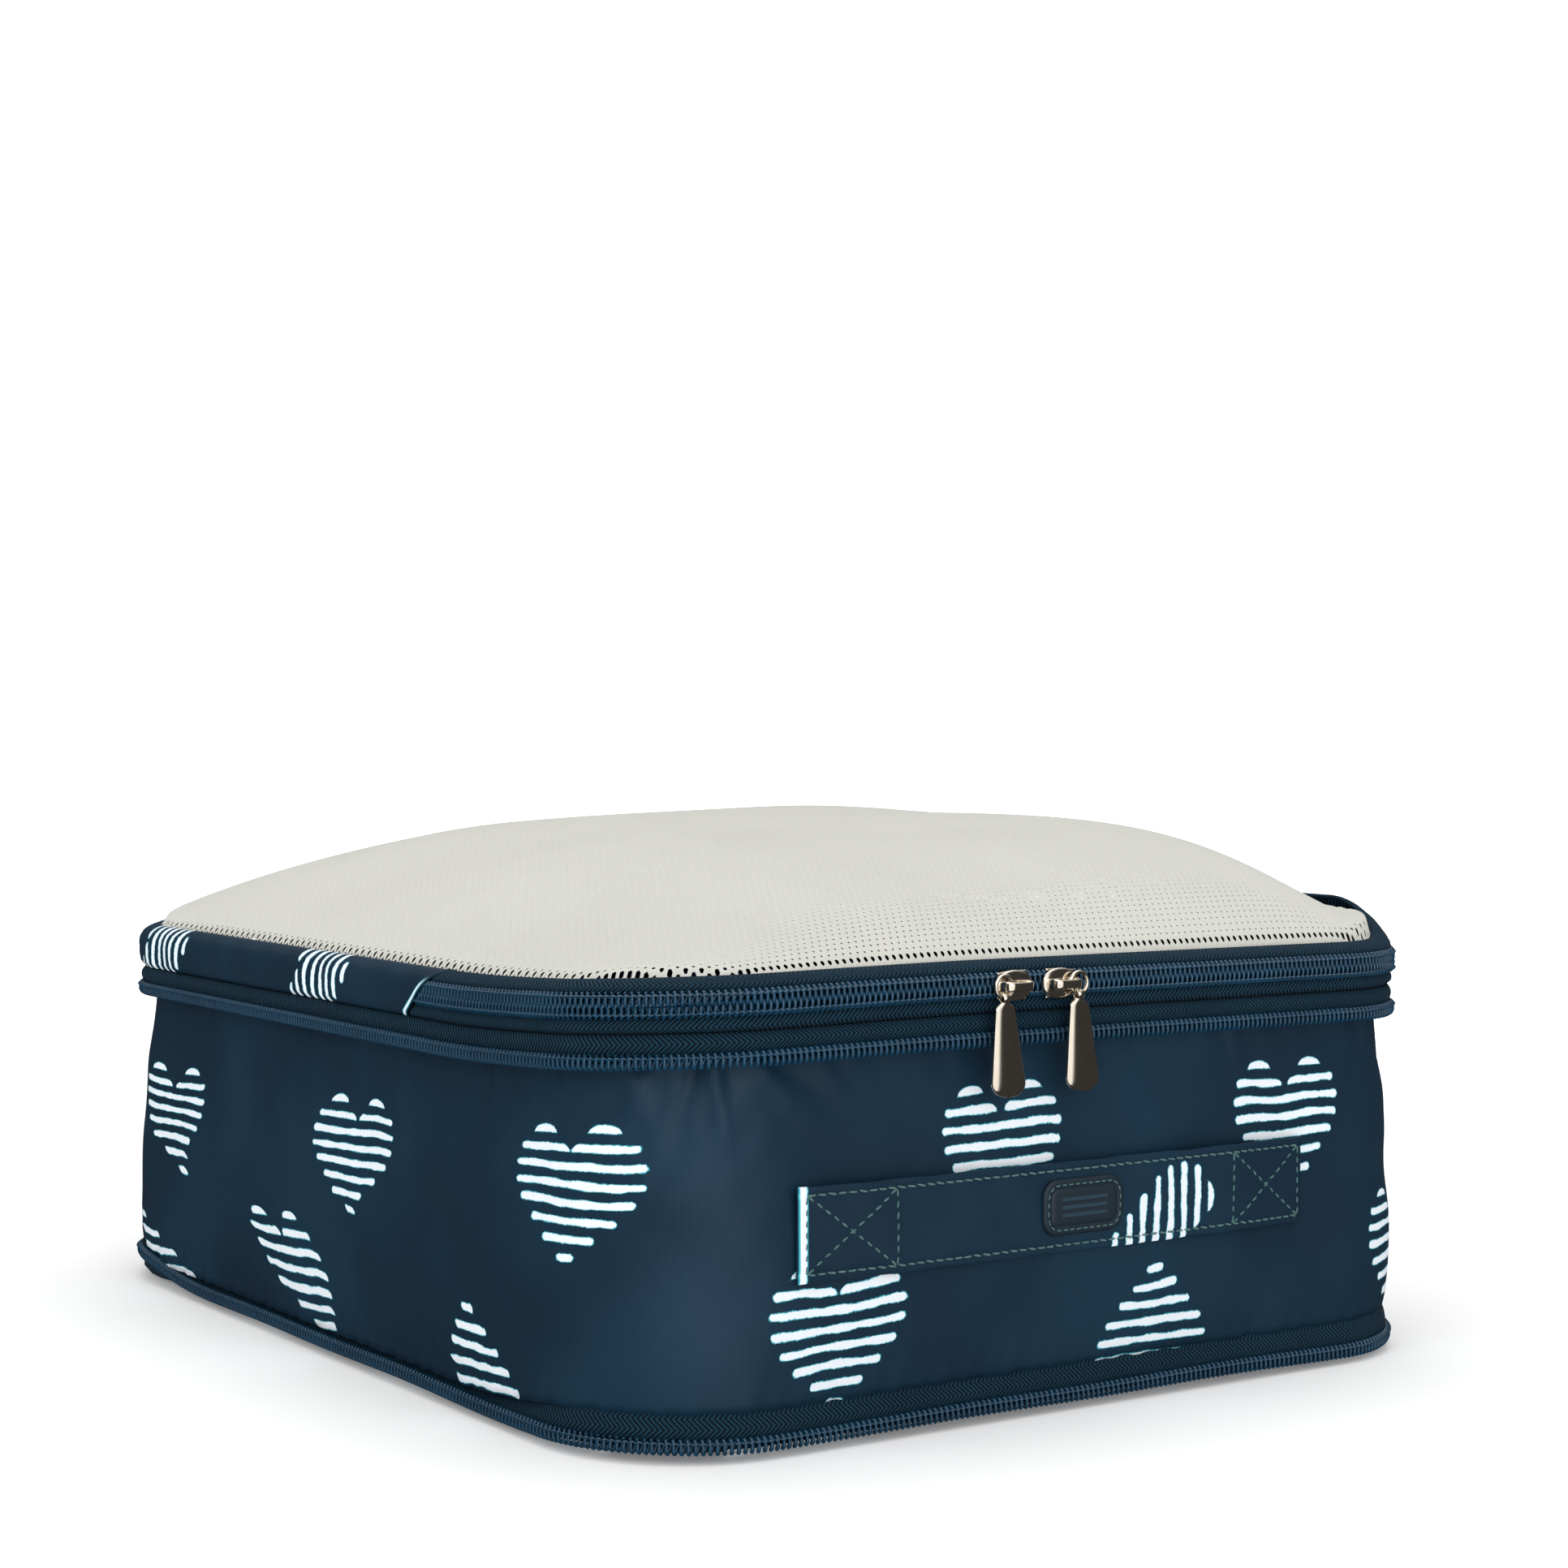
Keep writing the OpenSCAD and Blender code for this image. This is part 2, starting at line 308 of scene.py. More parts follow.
def new_object(name, verts, faces, mats=(), uv=None, outward=False):
    mesh = bpy.data.meshes.new(name)
    mesh.from_pydata((np.asarray(verts) * MM).tolist(), [], [list(map(int, f)) for f in faces])
    mesh.update()
    if uv is not None:
        layer = mesh.uv_layers.new(name="print")
        index = np.empty(len(mesh.loops), np.int32)
        mesh.loops.foreach_get("vertex_index", index)
        layer.data.foreach_set("uv", np.asarray(uv, np.float32)[index].ravel())
    obj = in_scene(name, mesh)
    for m in mats:
        mesh.materials.append(m)
    if outward:
        turn_outward(mesh)
    mesh.shade_smooth()
    return obj


def turn_outward(mesh, downward=False):
    """Make all faces agree, and turn an open sheet to face the ground if asked."""
    bm = bmesh.new()
    bm.from_mesh(mesh)
    bmesh.ops.recalc_face_normals(bm, faces=bm.faces)
    if downward and sum(f.normal.z * f.calc_area() for f in bm.faces) > 0:
        bmesh.ops.reverse_faces(bm, faces=bm.faces)
    bm.to_mesh(mesh)
    bm.free()


def quads(n, m, loop_n=False, loop_m=False):
    """Four-sided faces over an n by m grid of points, which may close on itself either way."""
    i = np.arange(n if loop_n else n - 1)[:, None]
    j = np.arange(m if loop_m else m - 1)
    i2, j2 = (i + 1) % n, (j + 1) % m
    return np.stack([c.ravel() for c in (i * m + j, i2 * m + j, i2 * m + j2, i * m + j2)], 1)


def loft(rings, capped=True):
    """A skin over a row of closed rings, capped at both ends or joined end to end."""
    n, m = len(rings), len(rings[0])
    faces = quads(n, m, not capped, True)[:, [0, 3, 2, 1]].tolist()
    if capped:
        faces += [list(range(m))[::-1], list(range((n - 1) * m, n * m))]
    return np.vstack(rings), faces


def solidify(obj, thick):
    """Give a sheet its thickness, inwards, with the second material on the inside."""
    mod = obj.modifiers.new("thickness", "SOLIDIFY")
    mod.thickness = thick * MM
    mod.offset = -1.0
    if len(obj.data.materials) > 1:
        mod.material_offset = 1
        mod.material_offset_rim = 0


def sheet_object(name, points, mats, uv, thick):
    """A sheet over a grid of points, with its thickness."""
    n, m = points.shape[:2]
    obj = new_object(name, points.reshape(-1, 3), quads(n, m), mats, uv.reshape(-1, 2))
    solidify(obj, thick)
    return obj


def lengths(line):
    """Distance along a line of points to each of them."""
    return np.r_[0, np.cumsum(np.linalg.norm(np.diff(line, axis=0), axis=1))]


def at_length(line, t):
    """Points at distances t along a line of (x, y) points."""
    d = lengths(line)
    return np.stack([np.interp(t, d, line[:, 0]), np.interp(t, d, line[:, 1])], -1)


def section_grid(section, step, along):
    """Grids over places along the case and a section of (out, z): place, distance, out and z."""
    section = np.asarray(section, float)
    total = lengths(section)[-1]
    t = np.linspace(0, total, max(2, int(round(total / step)) + 1))
    A, T = np.meshgrid(along, t, indexing="ij")
    out, z = (np.broadcast_to(c, A.shape).copy() for c in at_length(section, t).T)
    return A, T, out, z


def band(name, s, section, mat, step=0.9, thick=0.5, shape=None):
    """A strip of tape along the case. section is (out, z) from its lower or coil edge."""
    S, T, out, z = section_grid(section, step, s)
    if shape is not None:
        out, z = shape(S, T, out, z)
    return sheet_object(name, place(S, out, z), [mat], np.stack([S, T], -1), thick)


def circle(n):
    """Angles evenly round a circle."""
    return np.linspace(0, 2 * np.pi, n, endpoint=False)


def tube(points, radius, sides, closed=False, up=(0, 0, 1)):
    """Vertices and faces of a round tube along points."""
    points = np.asarray(points, float)
    if closed:
        tangent = np.roll(points, -1, 0) - np.roll(points, 1, 0)
    else:
        tangent = np.gradient(points, axis=0)
    tangent /= np.linalg.norm(tangent, axis=1)[:, None]
    a = np.cross(tangent, np.asarray(up, float))
    a /= np.maximum(np.linalg.norm(a, axis=1), 1e-9)[:, None]
    b = np.cross(tangent, a)
    phi = circle(sides)[:, None]
    ring = a[:, None] * np.cos(phi) + b[:, None] * np.sin(phi)
    n = len(points)
    radius = np.broadcast_to(radius, n)[:, None, None]
    faces = quads(n, sides, closed, True).tolist()
    if not closed:
        faces += [list(range(sides)), list(range(n * sides - 1, (n - 1) * sides - 1, -1))]
    return (points[:, None] + ring * radius).reshape(-1, 3), faces


def merge(parts):
    verts, faces, base = [], [], 0
    for v, f in parts:
        verts.append(v)
        faces += [[k + base for k in face] for face in f]
        base += len(v)
    return np.vstack(verts), faces


LOOP_Z, LOOP_OUT, WIRE_R, THREAD_R = 1.78, 0.78, 0.50, 0.36


def coil(name, span, z, heads_up, phase=0.0, shape=None):
    """A spiral row of zip coil from span[0] to span[1] along the case, with its stitching."""
    per, start = 12, span[0]
    turns = int((span[1] - start) / PITCH)
    k = np.arange(turns * per + 1) / per
    sin, cos = np.sin(2 * np.pi * k), np.cos(2 * np.pi * k)
    way = 1 if heads_up else -1
    # each loop stands almost square to the chain, and steps along on its tape side
    s = start + PITCH * (k + phase - 0.15 * sin)
    waist = bell(sin + 0.22, 0.24) * (cos > 0)
    out = LOOP_OUT * cos * (1 + 0.15 * cos) - 0.34 * waist
    loops = (s, out, z + way * LOOP_Z * sin, WIRE_R + 0.14 * np.clip(sin, 0, 1) ** 2, (0.3, 0.2, 0.9))
    # the stitching that holds the row to its tape, over each loop
    k = np.arange(turns * 5 + 1) / 5
    sin, cos = np.sin(2 * np.pi * k), np.cos(2 * np.pi * k)
    thread = (start + PITCH * (k + phase), 0.95 + 0.30 * cos, z - way * (0.9 + 0.22 * sin), THREAD_R,
              (0.1, 0.2, 0.95))
    parts = []
    for s, out, up_z, radius, up in (loops, thread):
        if shape is not None:
            out, up_z = shape(s, out, up_z)
        parts.append(tube(place(s, out, up_z), radius, 5, up=up))
    return new_object(name, *merge(parts), [M_COIL])


# ------------ material helpers
class Val:
    """A shader value that takes part in sums like a number."""

    def __init__(self, k, socket):
        self.k, self.socket = k, socket

    def __abs__(self):
        return self.k.m("ABSOLUTE", self)

    def __round__(self):
        return self.k.m("ROUND", self)


for sign, word in (("add", "ADD"), ("sub", "SUBTRACT"), ("mul", "MULTIPLY"), ("truediv", "DIVIDE")):
    setattr(Val, "__%s__" % sign, lambda a, b, op=word: a.k.m(op, a, b))
    setattr(Val, "__r%s__" % sign, lambda a, b, op=word: a.k.m(op, b, a))


class Nodes:
    """Short calls that make and join the shader nodes of a material or a world."""

    def __init__(self, owner):
        owner.use_nodes = True
        self.owner, self.tree = owner, owner.node_tree

    def join(self, socket, value):
        if isinstance(value, Val):
            self.tree.links.new(value.socket, socket)
        elif value is not None:
            socket.default_value = value

    def node(self, kind, ins=(), **attrs):
        n = self.tree.nodes.new(kind)
        count = len(self.tree.nodes)
        n.location = (-220 * (1 + count // 8), -160 * (count % 8))
        for key, value in attrs.items():
            setattr(n, key, value)
        for key, value in (ins.items() if isinstance(ins, dict) else enumerate(ins)):
            self.join(n.inputs[key], value)
        return n

    def get(self, kind, ins=(), out=0, **attrs):
        return Val(self, self.node(kind, ins, **attrs).outputs[out])

    def m(self, op, a, b=None):
        return self.get("ShaderNodeMath", (a, b), operation=op)

    def least(self, a, b):
        return self.m("MINIMUM", a, b)

    def most(self, a, b):
        return self.m("MAXIMUM", a, b)

    def wave(self, value, length=2 * math.pi):
        return self.m("SINE", value * (2 * math.pi / length))

    def ramp(self, value, lo, hi, low=0.0, high=1.0):
        return self.get("ShaderNodeMapRange", (value, lo, hi, low, high), interpolation_type="SMOOTHSTEP")

    def under(self, value, lo, hi):
        """1 below lo, 0 above hi."""
        return 1.0 - self.ramp(value, lo, hi)

    def vector(self, op, a, b=None, out=0):
        return self.get("ShaderNodeVectorMath", (a, b), out=out, operation=op)

    def xyz(self, vector):
        n = self.node("ShaderNodeSeparateXYZ", (vector,))
        return [Val(self, socket) for socket in n.outputs]

    def noise(self, vector, scale, detail=2.0, rough=0.5, colour=False):
        return self.get("ShaderNodeTexNoise", {"Vector": vector, "Scale": scale, "Detail": detail,
                                              "Roughness": rough}, out="Color" if colour else 0)

    def mix(self, fac, a, b):
        return self.get("ShaderNodeMix", {0: fac, 6: a, 7: b}, out=2, data_type="RGBA")

    def uv(self):
        """The piece's own coordinates in millimetres: along and across."""
        return self.xyz(self.get("ShaderNodeUVMap", uv_map="print"))[:2]

    def here(self):
        """Rest position in millimetres."""
        return self.vector("MULTIPLY", self.get("ShaderNodeTexCoord", out="Object"), (1000.0,) * 3)

    def bump(self, height, strength, distance, normal=None):
        return self.get("ShaderNodeBump", {"Strength": strength, "Distance": distance, "Height": height,
                                           "Normal": normal})

    def set(self, colour, roughness, normal=None, **others):
        for key, value in {"Base_Color": colour, "Roughness": roughness, "Normal": normal, **others}.items():
            self.join(self.tree.nodes["Principled BSDF"].inputs[key.replace("_", " ")], value)
        return self.owner


def material(name):
    return Nodes(bpy.data.materials.new(name))


def rgb(r, g, b):
    """sRGB 0-255 to linear."""
    parts = (c / 255 for c in (r, g, b))
    return tuple(c / 12.92 if c <= 10 / 255 else ((c + 0.055) / 1.055) ** 2.4 for c in parts) + (1,)


# ------------ the print of striped hearts
HEART_P, HEART_ROW, HEART_TOP, STRIPE = 108.0, 45.0, 73.0, 5.07
HEART_REACH, HALF_STRIPE = 20.5, 0.98
# where each stripe of half a heart starts and ends, as parts of HEART_REACH
ROW_SPANS = ((0.27, 0.70), (0.04, 0.93), (-0.4, 1.0), (-0.4, 0.98), (-0.4, 0.86), (-0.4, 0.64),
             (-0.4, 0.39), (-0.4, 0.13))


def odd(x):
    """1 for an odd whole number, 0 for an even one."""
    half = x * 0.5
    return abs((half - round(half + 0.01)) * 2.0)


def hearts(k, u, v, row=HEART_ROW, flips=True, shift=0.0, last=False):
    """Masks of a print of hearts made of brushed stripes: (paint, thin halo round the paint)."""
    vec = k.get("ShaderNodeCombineXYZ", (u, v, shift))
    drift, tips, _ = k.xyz(k.noise(vec, 0.045, 1.0, colour=True))
    v = v + (drift - 0.5) * 3.0
    j = round((v - HEART_TOP) / row)
    b = v - (j * row + HEART_TOP)
    column = (u - odd(j) * (HEART_P / 2)) / HEART_P
    i = round(column)
    a = (column - i) * HEART_P
    if flips:
        # every other heart of the odd rows is upside down
        inv = odd(j) * (1.0 - odd(i))
        b = (b - odd(j) * 3.5) * (1.0 - inv * 2.0) + inv * -12.5
    rows = len(ROW_SPANS)
    first = (rows - 1) / 2 * STRIPE
    r = k.least(k.most(round((first - b) / STRIPE), 0.0), rows - 1.0)
    above = b - (first - r * STRIPE)
    table = k.node("ShaderNodeValToRGB", ((r + 0.5) / rows,))
    cr = table.color_ramp
    cr.interpolation = "CONSTANT"
    while len(cr.elements) < rows:
        cr.elements.new(0.5)
    for n, (lo, hi) in enumerate(ROW_SPANS):
        cr.elements[n].position = n / rows
        cr.elements[n].color = ((lo + 1) / 2, (hi + 1) / 2, 0, 1)
    lo, hi, _ = [(c * 2.0 - 1.0) * HEART_REACH for c in k.xyz(Val(k, table.outputs[0]))]
    # the second stripe is parted by a notch that opens upwards
    second = 1.0 - k.least(abs(r - 1.0), 1.0)
    lo = lo + second * ((above + 0.6) * 0.75)
    aa = abs(a) + (tips - 0.5) * 2.5
    dx = k.most(k.most(aa - (hi - HALF_STRIPE), lo + HALF_STRIPE - aa), 0.0)
    rough = k.noise(vec, 1.1, 4.0, 0.75) - 0.5
    swell = k.noise(vec, 0.16, 1.0) - 0.5
    d = k.m("SQRT", dx * dx + above * above) - (swell * 1.1 + HALF_STRIPE)
    # the two top marks are flat below and domed above
    q = (aa - (lo + hi) * 0.5) / ((hi - lo) * 0.5)
    dome = k.m("SQRT", k.most(1.0 - q * q, 0.0))
    mark = k.most(-0.9 - above, above - (dome * 2.3 - 1.1))
    mark = k.most(mark, k.most(aa - hi, lo - aa))
    d = d + (1.0 - k.least(r, 1.0)) * (mark - d) + rough * 1.15
    if last:
        d = d + k.m("GREATER_THAN", j, 0.5) * 9.0
    return k.under(d, -0.10, 0.12), k.under(d, 0.06, 0.36)


def nylon(name, pattern=None, dull=0.0):
    k = material(name)
    u, v = k.uv()
    pos = k.here()
    fine = k.noise(pos, 0.9, 3.0)
    base = k.mix(k.ramp(k.noise(pos, 0.018), 0.35, 0.7), rgb(18, 40, 57), rgb(21, 50, 69))
    weave = (k.wave(u, 0.42) + k.wave(v + u * 0.5, 0.36)) * 0.25
    base = k.mix((weave + 0.5) * 0.16, base, rgb(38, 70, 94))
    base = k.mix(fine * 0.10, base, rgb(10, 14, 22))
    roughness = (fine - 0.5) * 0.12 + (0.40 + dull)
    if pattern is not None:
        paint, halo = pattern(k, u, v)
        base = k.mix(halo * 0.9, base, rgb(70, 196, 214))
        base = k.mix(paint, base, k.mix(fine * 0.25, rgb(238, 243, 248), rgb(196, 208, 222)))
        roughness = roughness + paint * 0.10
    n = k.bump(weave * 0.5 + fine * 0.35, 0.35, 0.00006)
    n = k.bump(k.noise(pos, 0.09, 3.0, 0.55), 0.22, 0.0012, n)
    return k.set(base, roughness, n, Specular_IOR_Level=0.13)


def with_bar(k, paint, halo, x, inner, outer, low=1.0):
    """The print with a bar of paint added, x mm from the bar's middle line."""
    line, edge = (k.under(x, *span) * low for span in (inner, outer))
    return k.most(paint, line), k.most(halo, edge)


def wall_print(k, u, v):
    return hearts(k, u, v, last=True)


def strap_print(k, u, v):
    # turned a quarter: the stripes run up and down the strap
    paint, halo = hearts(k, v - 1.0, u - 27.0 + HEART_TOP, row=400.0, flips=False, shift=5.0)
    x = abs(u - (STRAP_X - STRAP_L / 2 + 1.7))
    return with_bar(k, paint, halo, x, (0.85, 1.1), (1.1, 1.5))


def gusset_print(k, u, v):
    # turned a quarter, with a bar of print caught along the folded slanting end
    side = abs(u)
    from_end = side - (v * -SLOPE + s_at_y(FOLD_Y + SLANT_Z * SLOPE))
    paint, halo = hearts(k, v - 121.0, side - s_at_y(4.0) + HEART_TOP, row=58.5, flips=False, shift=9.0)
    low = k.under(v, 120.0, 124.0)
    return with_bar(k, paint, halo, abs(from_end - 1.5), (0.75, 1.0), (1.1, 1.6), low)


# ------------ the other materials
def start(name, scale, detail):
    """A material's nodes, its rest position and its fine noise."""
    k = material(name)
    pos = k.here()
    return k, pos, k.noise(pos, scale, detail)


def tape_material():
    k, pos, fine = start("zip_tape_weave", 1.4, 3.0)
    u, v = k.uv()
    fold = k.m("PINGPONG", v + 0.4, 2.9)
    rib = k.wave(u + fold, 1.45)
    yarn = k.wave(u * 0.9 - fold, 0.42)
    cloth = k.mix(k.noise(pos, 0.03), rgb(22, 60, 82), rgb(31, 76, 98))
    base = k.mix(k.ramp(rib, -0.8, 0.5), rgb(4, 14, 23), cloth)
    base = k.mix(fine * 0.3, base, rgb(12, 26, 38))
    n = k.bump(rib * 0.5 + yarn * 0.16 + fine * 0.3, 1.0, 0.0004)
    return k.set(base, 0.75, n, Specular_IOR_Level=0.14)


def coil_material():
    k, pos, fine = start("zip_coil_nylon", 2.2, 2.0)
    base = k.mix(k.noise(pos, 0.05), rgb(12, 50, 74), rgb(22, 72, 100))
    base = k.mix(fine * 0.3, base, rgb(8, 26, 42))
    n = k.bump(fine, 0.15, 0.0001)
    return k.set(base, fine * 0.10 + 0.20, n, Specular_IOR_Level=0.55)


def net_material():
    k, pos, fine = start("mesh_net_yarn", 2.6, 3.0)
    fibre = k.wave((k.xyz(pos)[0] + fine * 3.0) * 14.0)
    base = k.mix(k.noise(pos, 0.02), rgb(203, 203, 196), rgb(213, 213, 206))
    base = k.mix(fine * 0.28, base, rgb(170, 168, 158))
    n = k.bump(fine + fibre * 0.12, 0.25, 0.0001)
    return k.set(base, 0.85, n, Specular_IOR_Level=0.12)


def metal_material():
    k, pos, fine = start("plated_metal", 3.0, 4.0)
    scratch = k.noise(k.vector("MULTIPLY", pos, (1.0, 1.0, 9.0)), 1.4, 5.0, 0.7)
    base = k.mix(k.noise(pos, 0.25), rgb(222, 212, 197), rgb(205, 194, 178))
    base = k.mix(k.ramp(scratch, 0.62, 0.8) * 0.3, base, rgb(120, 104, 92))
    n = k.bump(fine * 0.3 + scratch, 0.05, 0.0001)
    return k.set(base, scratch * 0.08 + 0.06, n, Metallic=1.0)


def rubber_material():
    k, _, fine = start("badge_rubber_face", 3.2, 3.0)
    u, v = k.uv()
    # plain grip ribs in the middle of the badge, in its own colour
    near = abs(k.m("FRACT", v / 2.2 + 0.5) - 0.5) * 2.2
    ribs = k.under(near, 0.35, 0.6) * k.under(abs(v), 3.0, 3.3) * k.under(abs(u), 7.8, 8.3)
    base = k.mix(ribs, k.mix(fine, rgb(9, 27, 37), rgb(15, 36, 48)), rgb(30, 56, 70))
    n = k.bump(fine * 0.5 + ribs * 1.2, 0.35, 0.0002)
    return k.set(base, fine * 0.15 + 0.5, n, Specular_IOR_Level=0.4)


def thread_material():
    k, pos, fine = start("stitching_thread", 2.4, 3.0)
    twist = k.wave((k.xyz(pos)[0] + fine * 2.0) * 12.0)
    base = k.mix((twist + 1.0) * 0.5, rgb(38, 78, 80), rgb(88, 138, 134))
    n = k.bump(twist + fine, 0.5, 0.0001)
    return k.set(base, 0.55, n, Sheen_Weight=0.2)


def binding_material():
    k, _, fine = start("grosgrain_binding", 1.6, 3.0)
    rib = k.wave(k.uv()[0], 0.75)
    base = k.mix(k.ramp(rib, -1.0, 0.9), rgb(8, 13, 22), rgb(20, 32, 46))
    base = k.mix(fine * 0.3, base, rgb(28, 40, 54))
    n = k.bump(rib + fine * 0.4, 0.6, 0.00015)
    return k.set(base, 0.7, n, Sheen_Weight=0.25)


def fitting_material():
    k, _, fine = start("moulded_fitting", 2.0, 4.0)
    base = k.mix(fine, rgb(18, 34, 48), rgb(30, 50, 66))
    n = k.bump(fine, 0.3, 0.0002)
    return k.set(base, fine * 0.2 + 0.36, n)


M_WALL = nylon("printed_nylon_wall", wall_print)
M_STRAP = nylon("printed_nylon_strap", strap_print, 0.04)
M_GUSSET = nylon("printed_nylon_gusset", gusset_print, 0.03)
M_LINING = nylon("nylon_reverse", None, 0.16)
M_TAPE = tape_material()
M_COIL = coil_material()
M_NET = net_material()
M_METAL = metal_material()
M_RUBBER = rubber_material()
M_THREAD = thread_material()
M_BIND = binding_material()
M_FIT = fitting_material()


# ------------ the printed wall
WALL_FOOT, WALL_TOP = 12.2, 110.5
WALL_Z = (WALL_FOOT, 16, 24, 35, 50, 65, 80, 92, 100, 104, 107, WALL_TOP)
WALL_OUT = (-1.5, -0.6, -0.1, -0.3, -0.9, -1.8, -3.0, -4.2, -4.9, -4.9, -3.8, -2.2)


def left_weight(s):
    """1 along the -X side, where the wall sags over the lower tape."""
    w = wrap(s)
    return smooth(-150, -215, w) * (1 - smooth(-415, -455, w))


# creases that run down from the upper row: start, run and drop, height, half width
CREASES = ((-121, 103, 4, -26, 1.9, 1.8), (-126, 103, -7, -22, -1.9, 2.0), (-108, 103, 16, -17, 1.8, 1.7),
           (-102, 103, 19, -13, -1.5, 1.8), (-139, 103, -13, -24, 1.4, 2.2), (-88, 103, 10, -12, 0.7, 1.8),
           (118, 103, -4, -26, 1.2, 2.2), (131, 103, 9, -22, -1.0, 2.2), (-205, 103, -2, -20, 0.8, 2.2),
           (-262, 103, 3, -18, 0.7, 2.4), (60, 103, 3, -15, 0.6, 2.2))


def wall_out(s, z):
    """How far the wall stands outside the zip line: its sag, bulges and creases."""
    out = np.interp(z, WALL_Z, WALL_OUT)
    lw = left_weight(s)
    out = out + lw * (1.3 * bell(z - 14, 9.0) + 1.5 * bell(z - 30, 20.0))
    mid = np.cos(np.clip((z - 58) / 50, -1, 1) * math.pi / 2)
    w = wrap(s)
    run = np.abs(w)
    flank = bell(run - (FRONT_RUN + ARC + SIDE_RUN), 90.0)
    out = out + 1.6 * mid * flank + 0.8 * mid * bell(run, 70.0)
    top = fade(108 - z, 11.0)
    low = fade(z - 12, 7.0)
    corner = bell(run - (FRONT_RUN + ARC / 2), 42.0)
    out = out + top * (0.35 + 0.55 * corner) * noise1(s + 0.5 * z, 3, 19.0)
    out = out + low * 0.42 * noise1(s - 0.4 * z, 5, 13.0)
    out = out + mid * 0.85 * noise2(s, z, 11, 130.0, 75.0)
    out = out + 0.4 * mid * noise2(s, z, 17, 46.0, 60.0)
    for s0, z0, ds, dz, amp, wide in CREASES:
        length = math.hypot(ds, dz)
        along = np.clip(((w - s0) * ds + (z - z0) * dz) / length, 0, 40)
        across = ((w - s0) * dz - (z - z0) * ds) / length
        profile = bell(across, wide + 0.05 * along) * (z < z0 + 3)
        out = out + amp * profile * bell(along, 0.75 * length)
    fall = fade(104 - z, 24.0)
    slant = s + 0.85 * (104 - z) * np.sign(noise1(s, 21, 60.0))
    return out + 0.9 * corner * fall * noise1(slant, 29, 26.0)


# places round the case, and where each lies on the uncut print
EASED = (-1168.0, -418.0, -285.0, -222.7, -190.5, -138.5, -106.0, -63.0, -60.0)
PRINTED = (-934.0, -324.0, -216.0, -162.0, -128.5, -87.5, -74.5, -33.5, -32.0)


# places round the case, and where each lies on the uncut print
EASED = (-1168.0, -418.0, -285.0, -222.7, -190.5, -138.5, -106.0, -63.0, -60.0)
PRINTED = (-934.0, -324.0, -216.0, -162.0, -128.5, -87.5, -74.5, -33.5, -32.0)


def print_uv(s, z):
    """Place on the uncut print for a point of the wall: the cloth is eased round the near corner."""
    s = np.asarray(s, float)
    slip = np.clip((-120 - s) / 140, 0, 1.6) * np.clip(50 - z, 0, None) * smooth(-525, -445, s)
    q = s - slip
    u = np.where(q > -60, q + 28, np.interp(q, EASED, PRINTED))
    v = z + 0.0352 * np.clip(-28 - s, 0, 400)
    return np.stack([u, v], -1)


def make_wall():
    n, m = 810, 40
    seam = 26.0
    s = np.linspace(-HALF_LOOP - seam, HALF_LOOP - seam, n)
    t = np.linspace(0, 1, m)
    S, T = np.meshgrid(s, t, indexing="ij")
    lw = left_weight(S)
    bottom = WALL_FOOT - 4.2 * lw
    Z = bottom + (WALL_TOP - bottom) * T
    out = wall_out(S, Z) + 0.4 * lw * bell(Z - bottom, 4.0)
    # the ends of the strip are lapped at the back
    lap = np.minimum(S - s[0], s[-1] - S)
    out = out - 0.5 * bell(lap, 1.6)
    return sheet_object("body_wall_cloth", place(S, out, Z), [M_WALL, M_LINING], print_uv(S, Z), 0.45)


wall = make_wall()


BASE_SECTION = ((-2.2, 12.4), (-2.0, 10.6), (-2.6, 8.2), (-4.0, 5.0), (-6.2, 2.4), (-9.0, 0.9), (-13.0, 0.35),
                (-20.0, 0.25), (-32.0, 0.25))


def make_base():
    sec = np.array(BASE_SECTION)
    S, K = np.meshgrid(np.linspace(-HALF_LOOP, HALF_LOOP, 361), np.arange(len(sec)), indexing="ij")
    # the base bulges out and down a little round the back left corner
    near = bell(wrap(S) + 455, 40.0)
    shell = bell(K - 3.5, 1.8)
    out = sec[K, 0] + near * shell * 3.4 - near * 0.2 + 0.35 * shell * noise1(S, 41, 24.0)
    z = sec[K, 1] - near * shell * 1.4
    P = place(S, out, np.maximum(z, 0.2))[:-1]
    n, m = P.shape[:2]
    faces = quads(n, m, True)[:, ::-1].tolist()
    verts = np.vstack([P.reshape(-1, 3), [[0, 0, 0.25]]])
    faces += [(i * m + m - 1, (i + 1) % n * m + m - 1, n * m) for i in range(n)]
    uv = np.stack([verts[:, 0] + 40, verts[:, 1] + 30], 1)
    obj = new_object("base_panel_cloth", verts, faces, [M_WALL, M_LINING], uv)
    turn_outward(obj.data, downward=True)
    obj.data.shade_smooth()
    solidify(obj, 0.4)
    return obj


base = make_base()


# ------------ tapes and rows of coil
def join_span():
    """Arc lengths at which the compression zip starts and ends, either side of its fitting at the back."""
    mid = -(HALF_LOOP - abs(JOIN_X))
    return mid + JOIN_W / 2, mid - JOIN_W / 2 + 2 * HALF_LOOP


S0, S1 = join_span()
S_TAPE = np.linspace(S0, S1, 640)


def low_wave(s):
    return 0.5 * noise1(s, 51, 170.0) + 4.4 * bell(wrap(s) + 448, 32.0)


def low_tape_shape(S, T, out, z):
    lw = left_weight(S)
    k = np.clip((z - 5.0) / 8.0, 0, 1)
    z = z - lw * k * 4.6 + low_wave(S) * (1 - k)
    out = out - lw * k * 2.6 + 0.25 * (1 - lw) * noise1(S, 57, 34.0) * np.sin(k * math.pi)
    return out, z


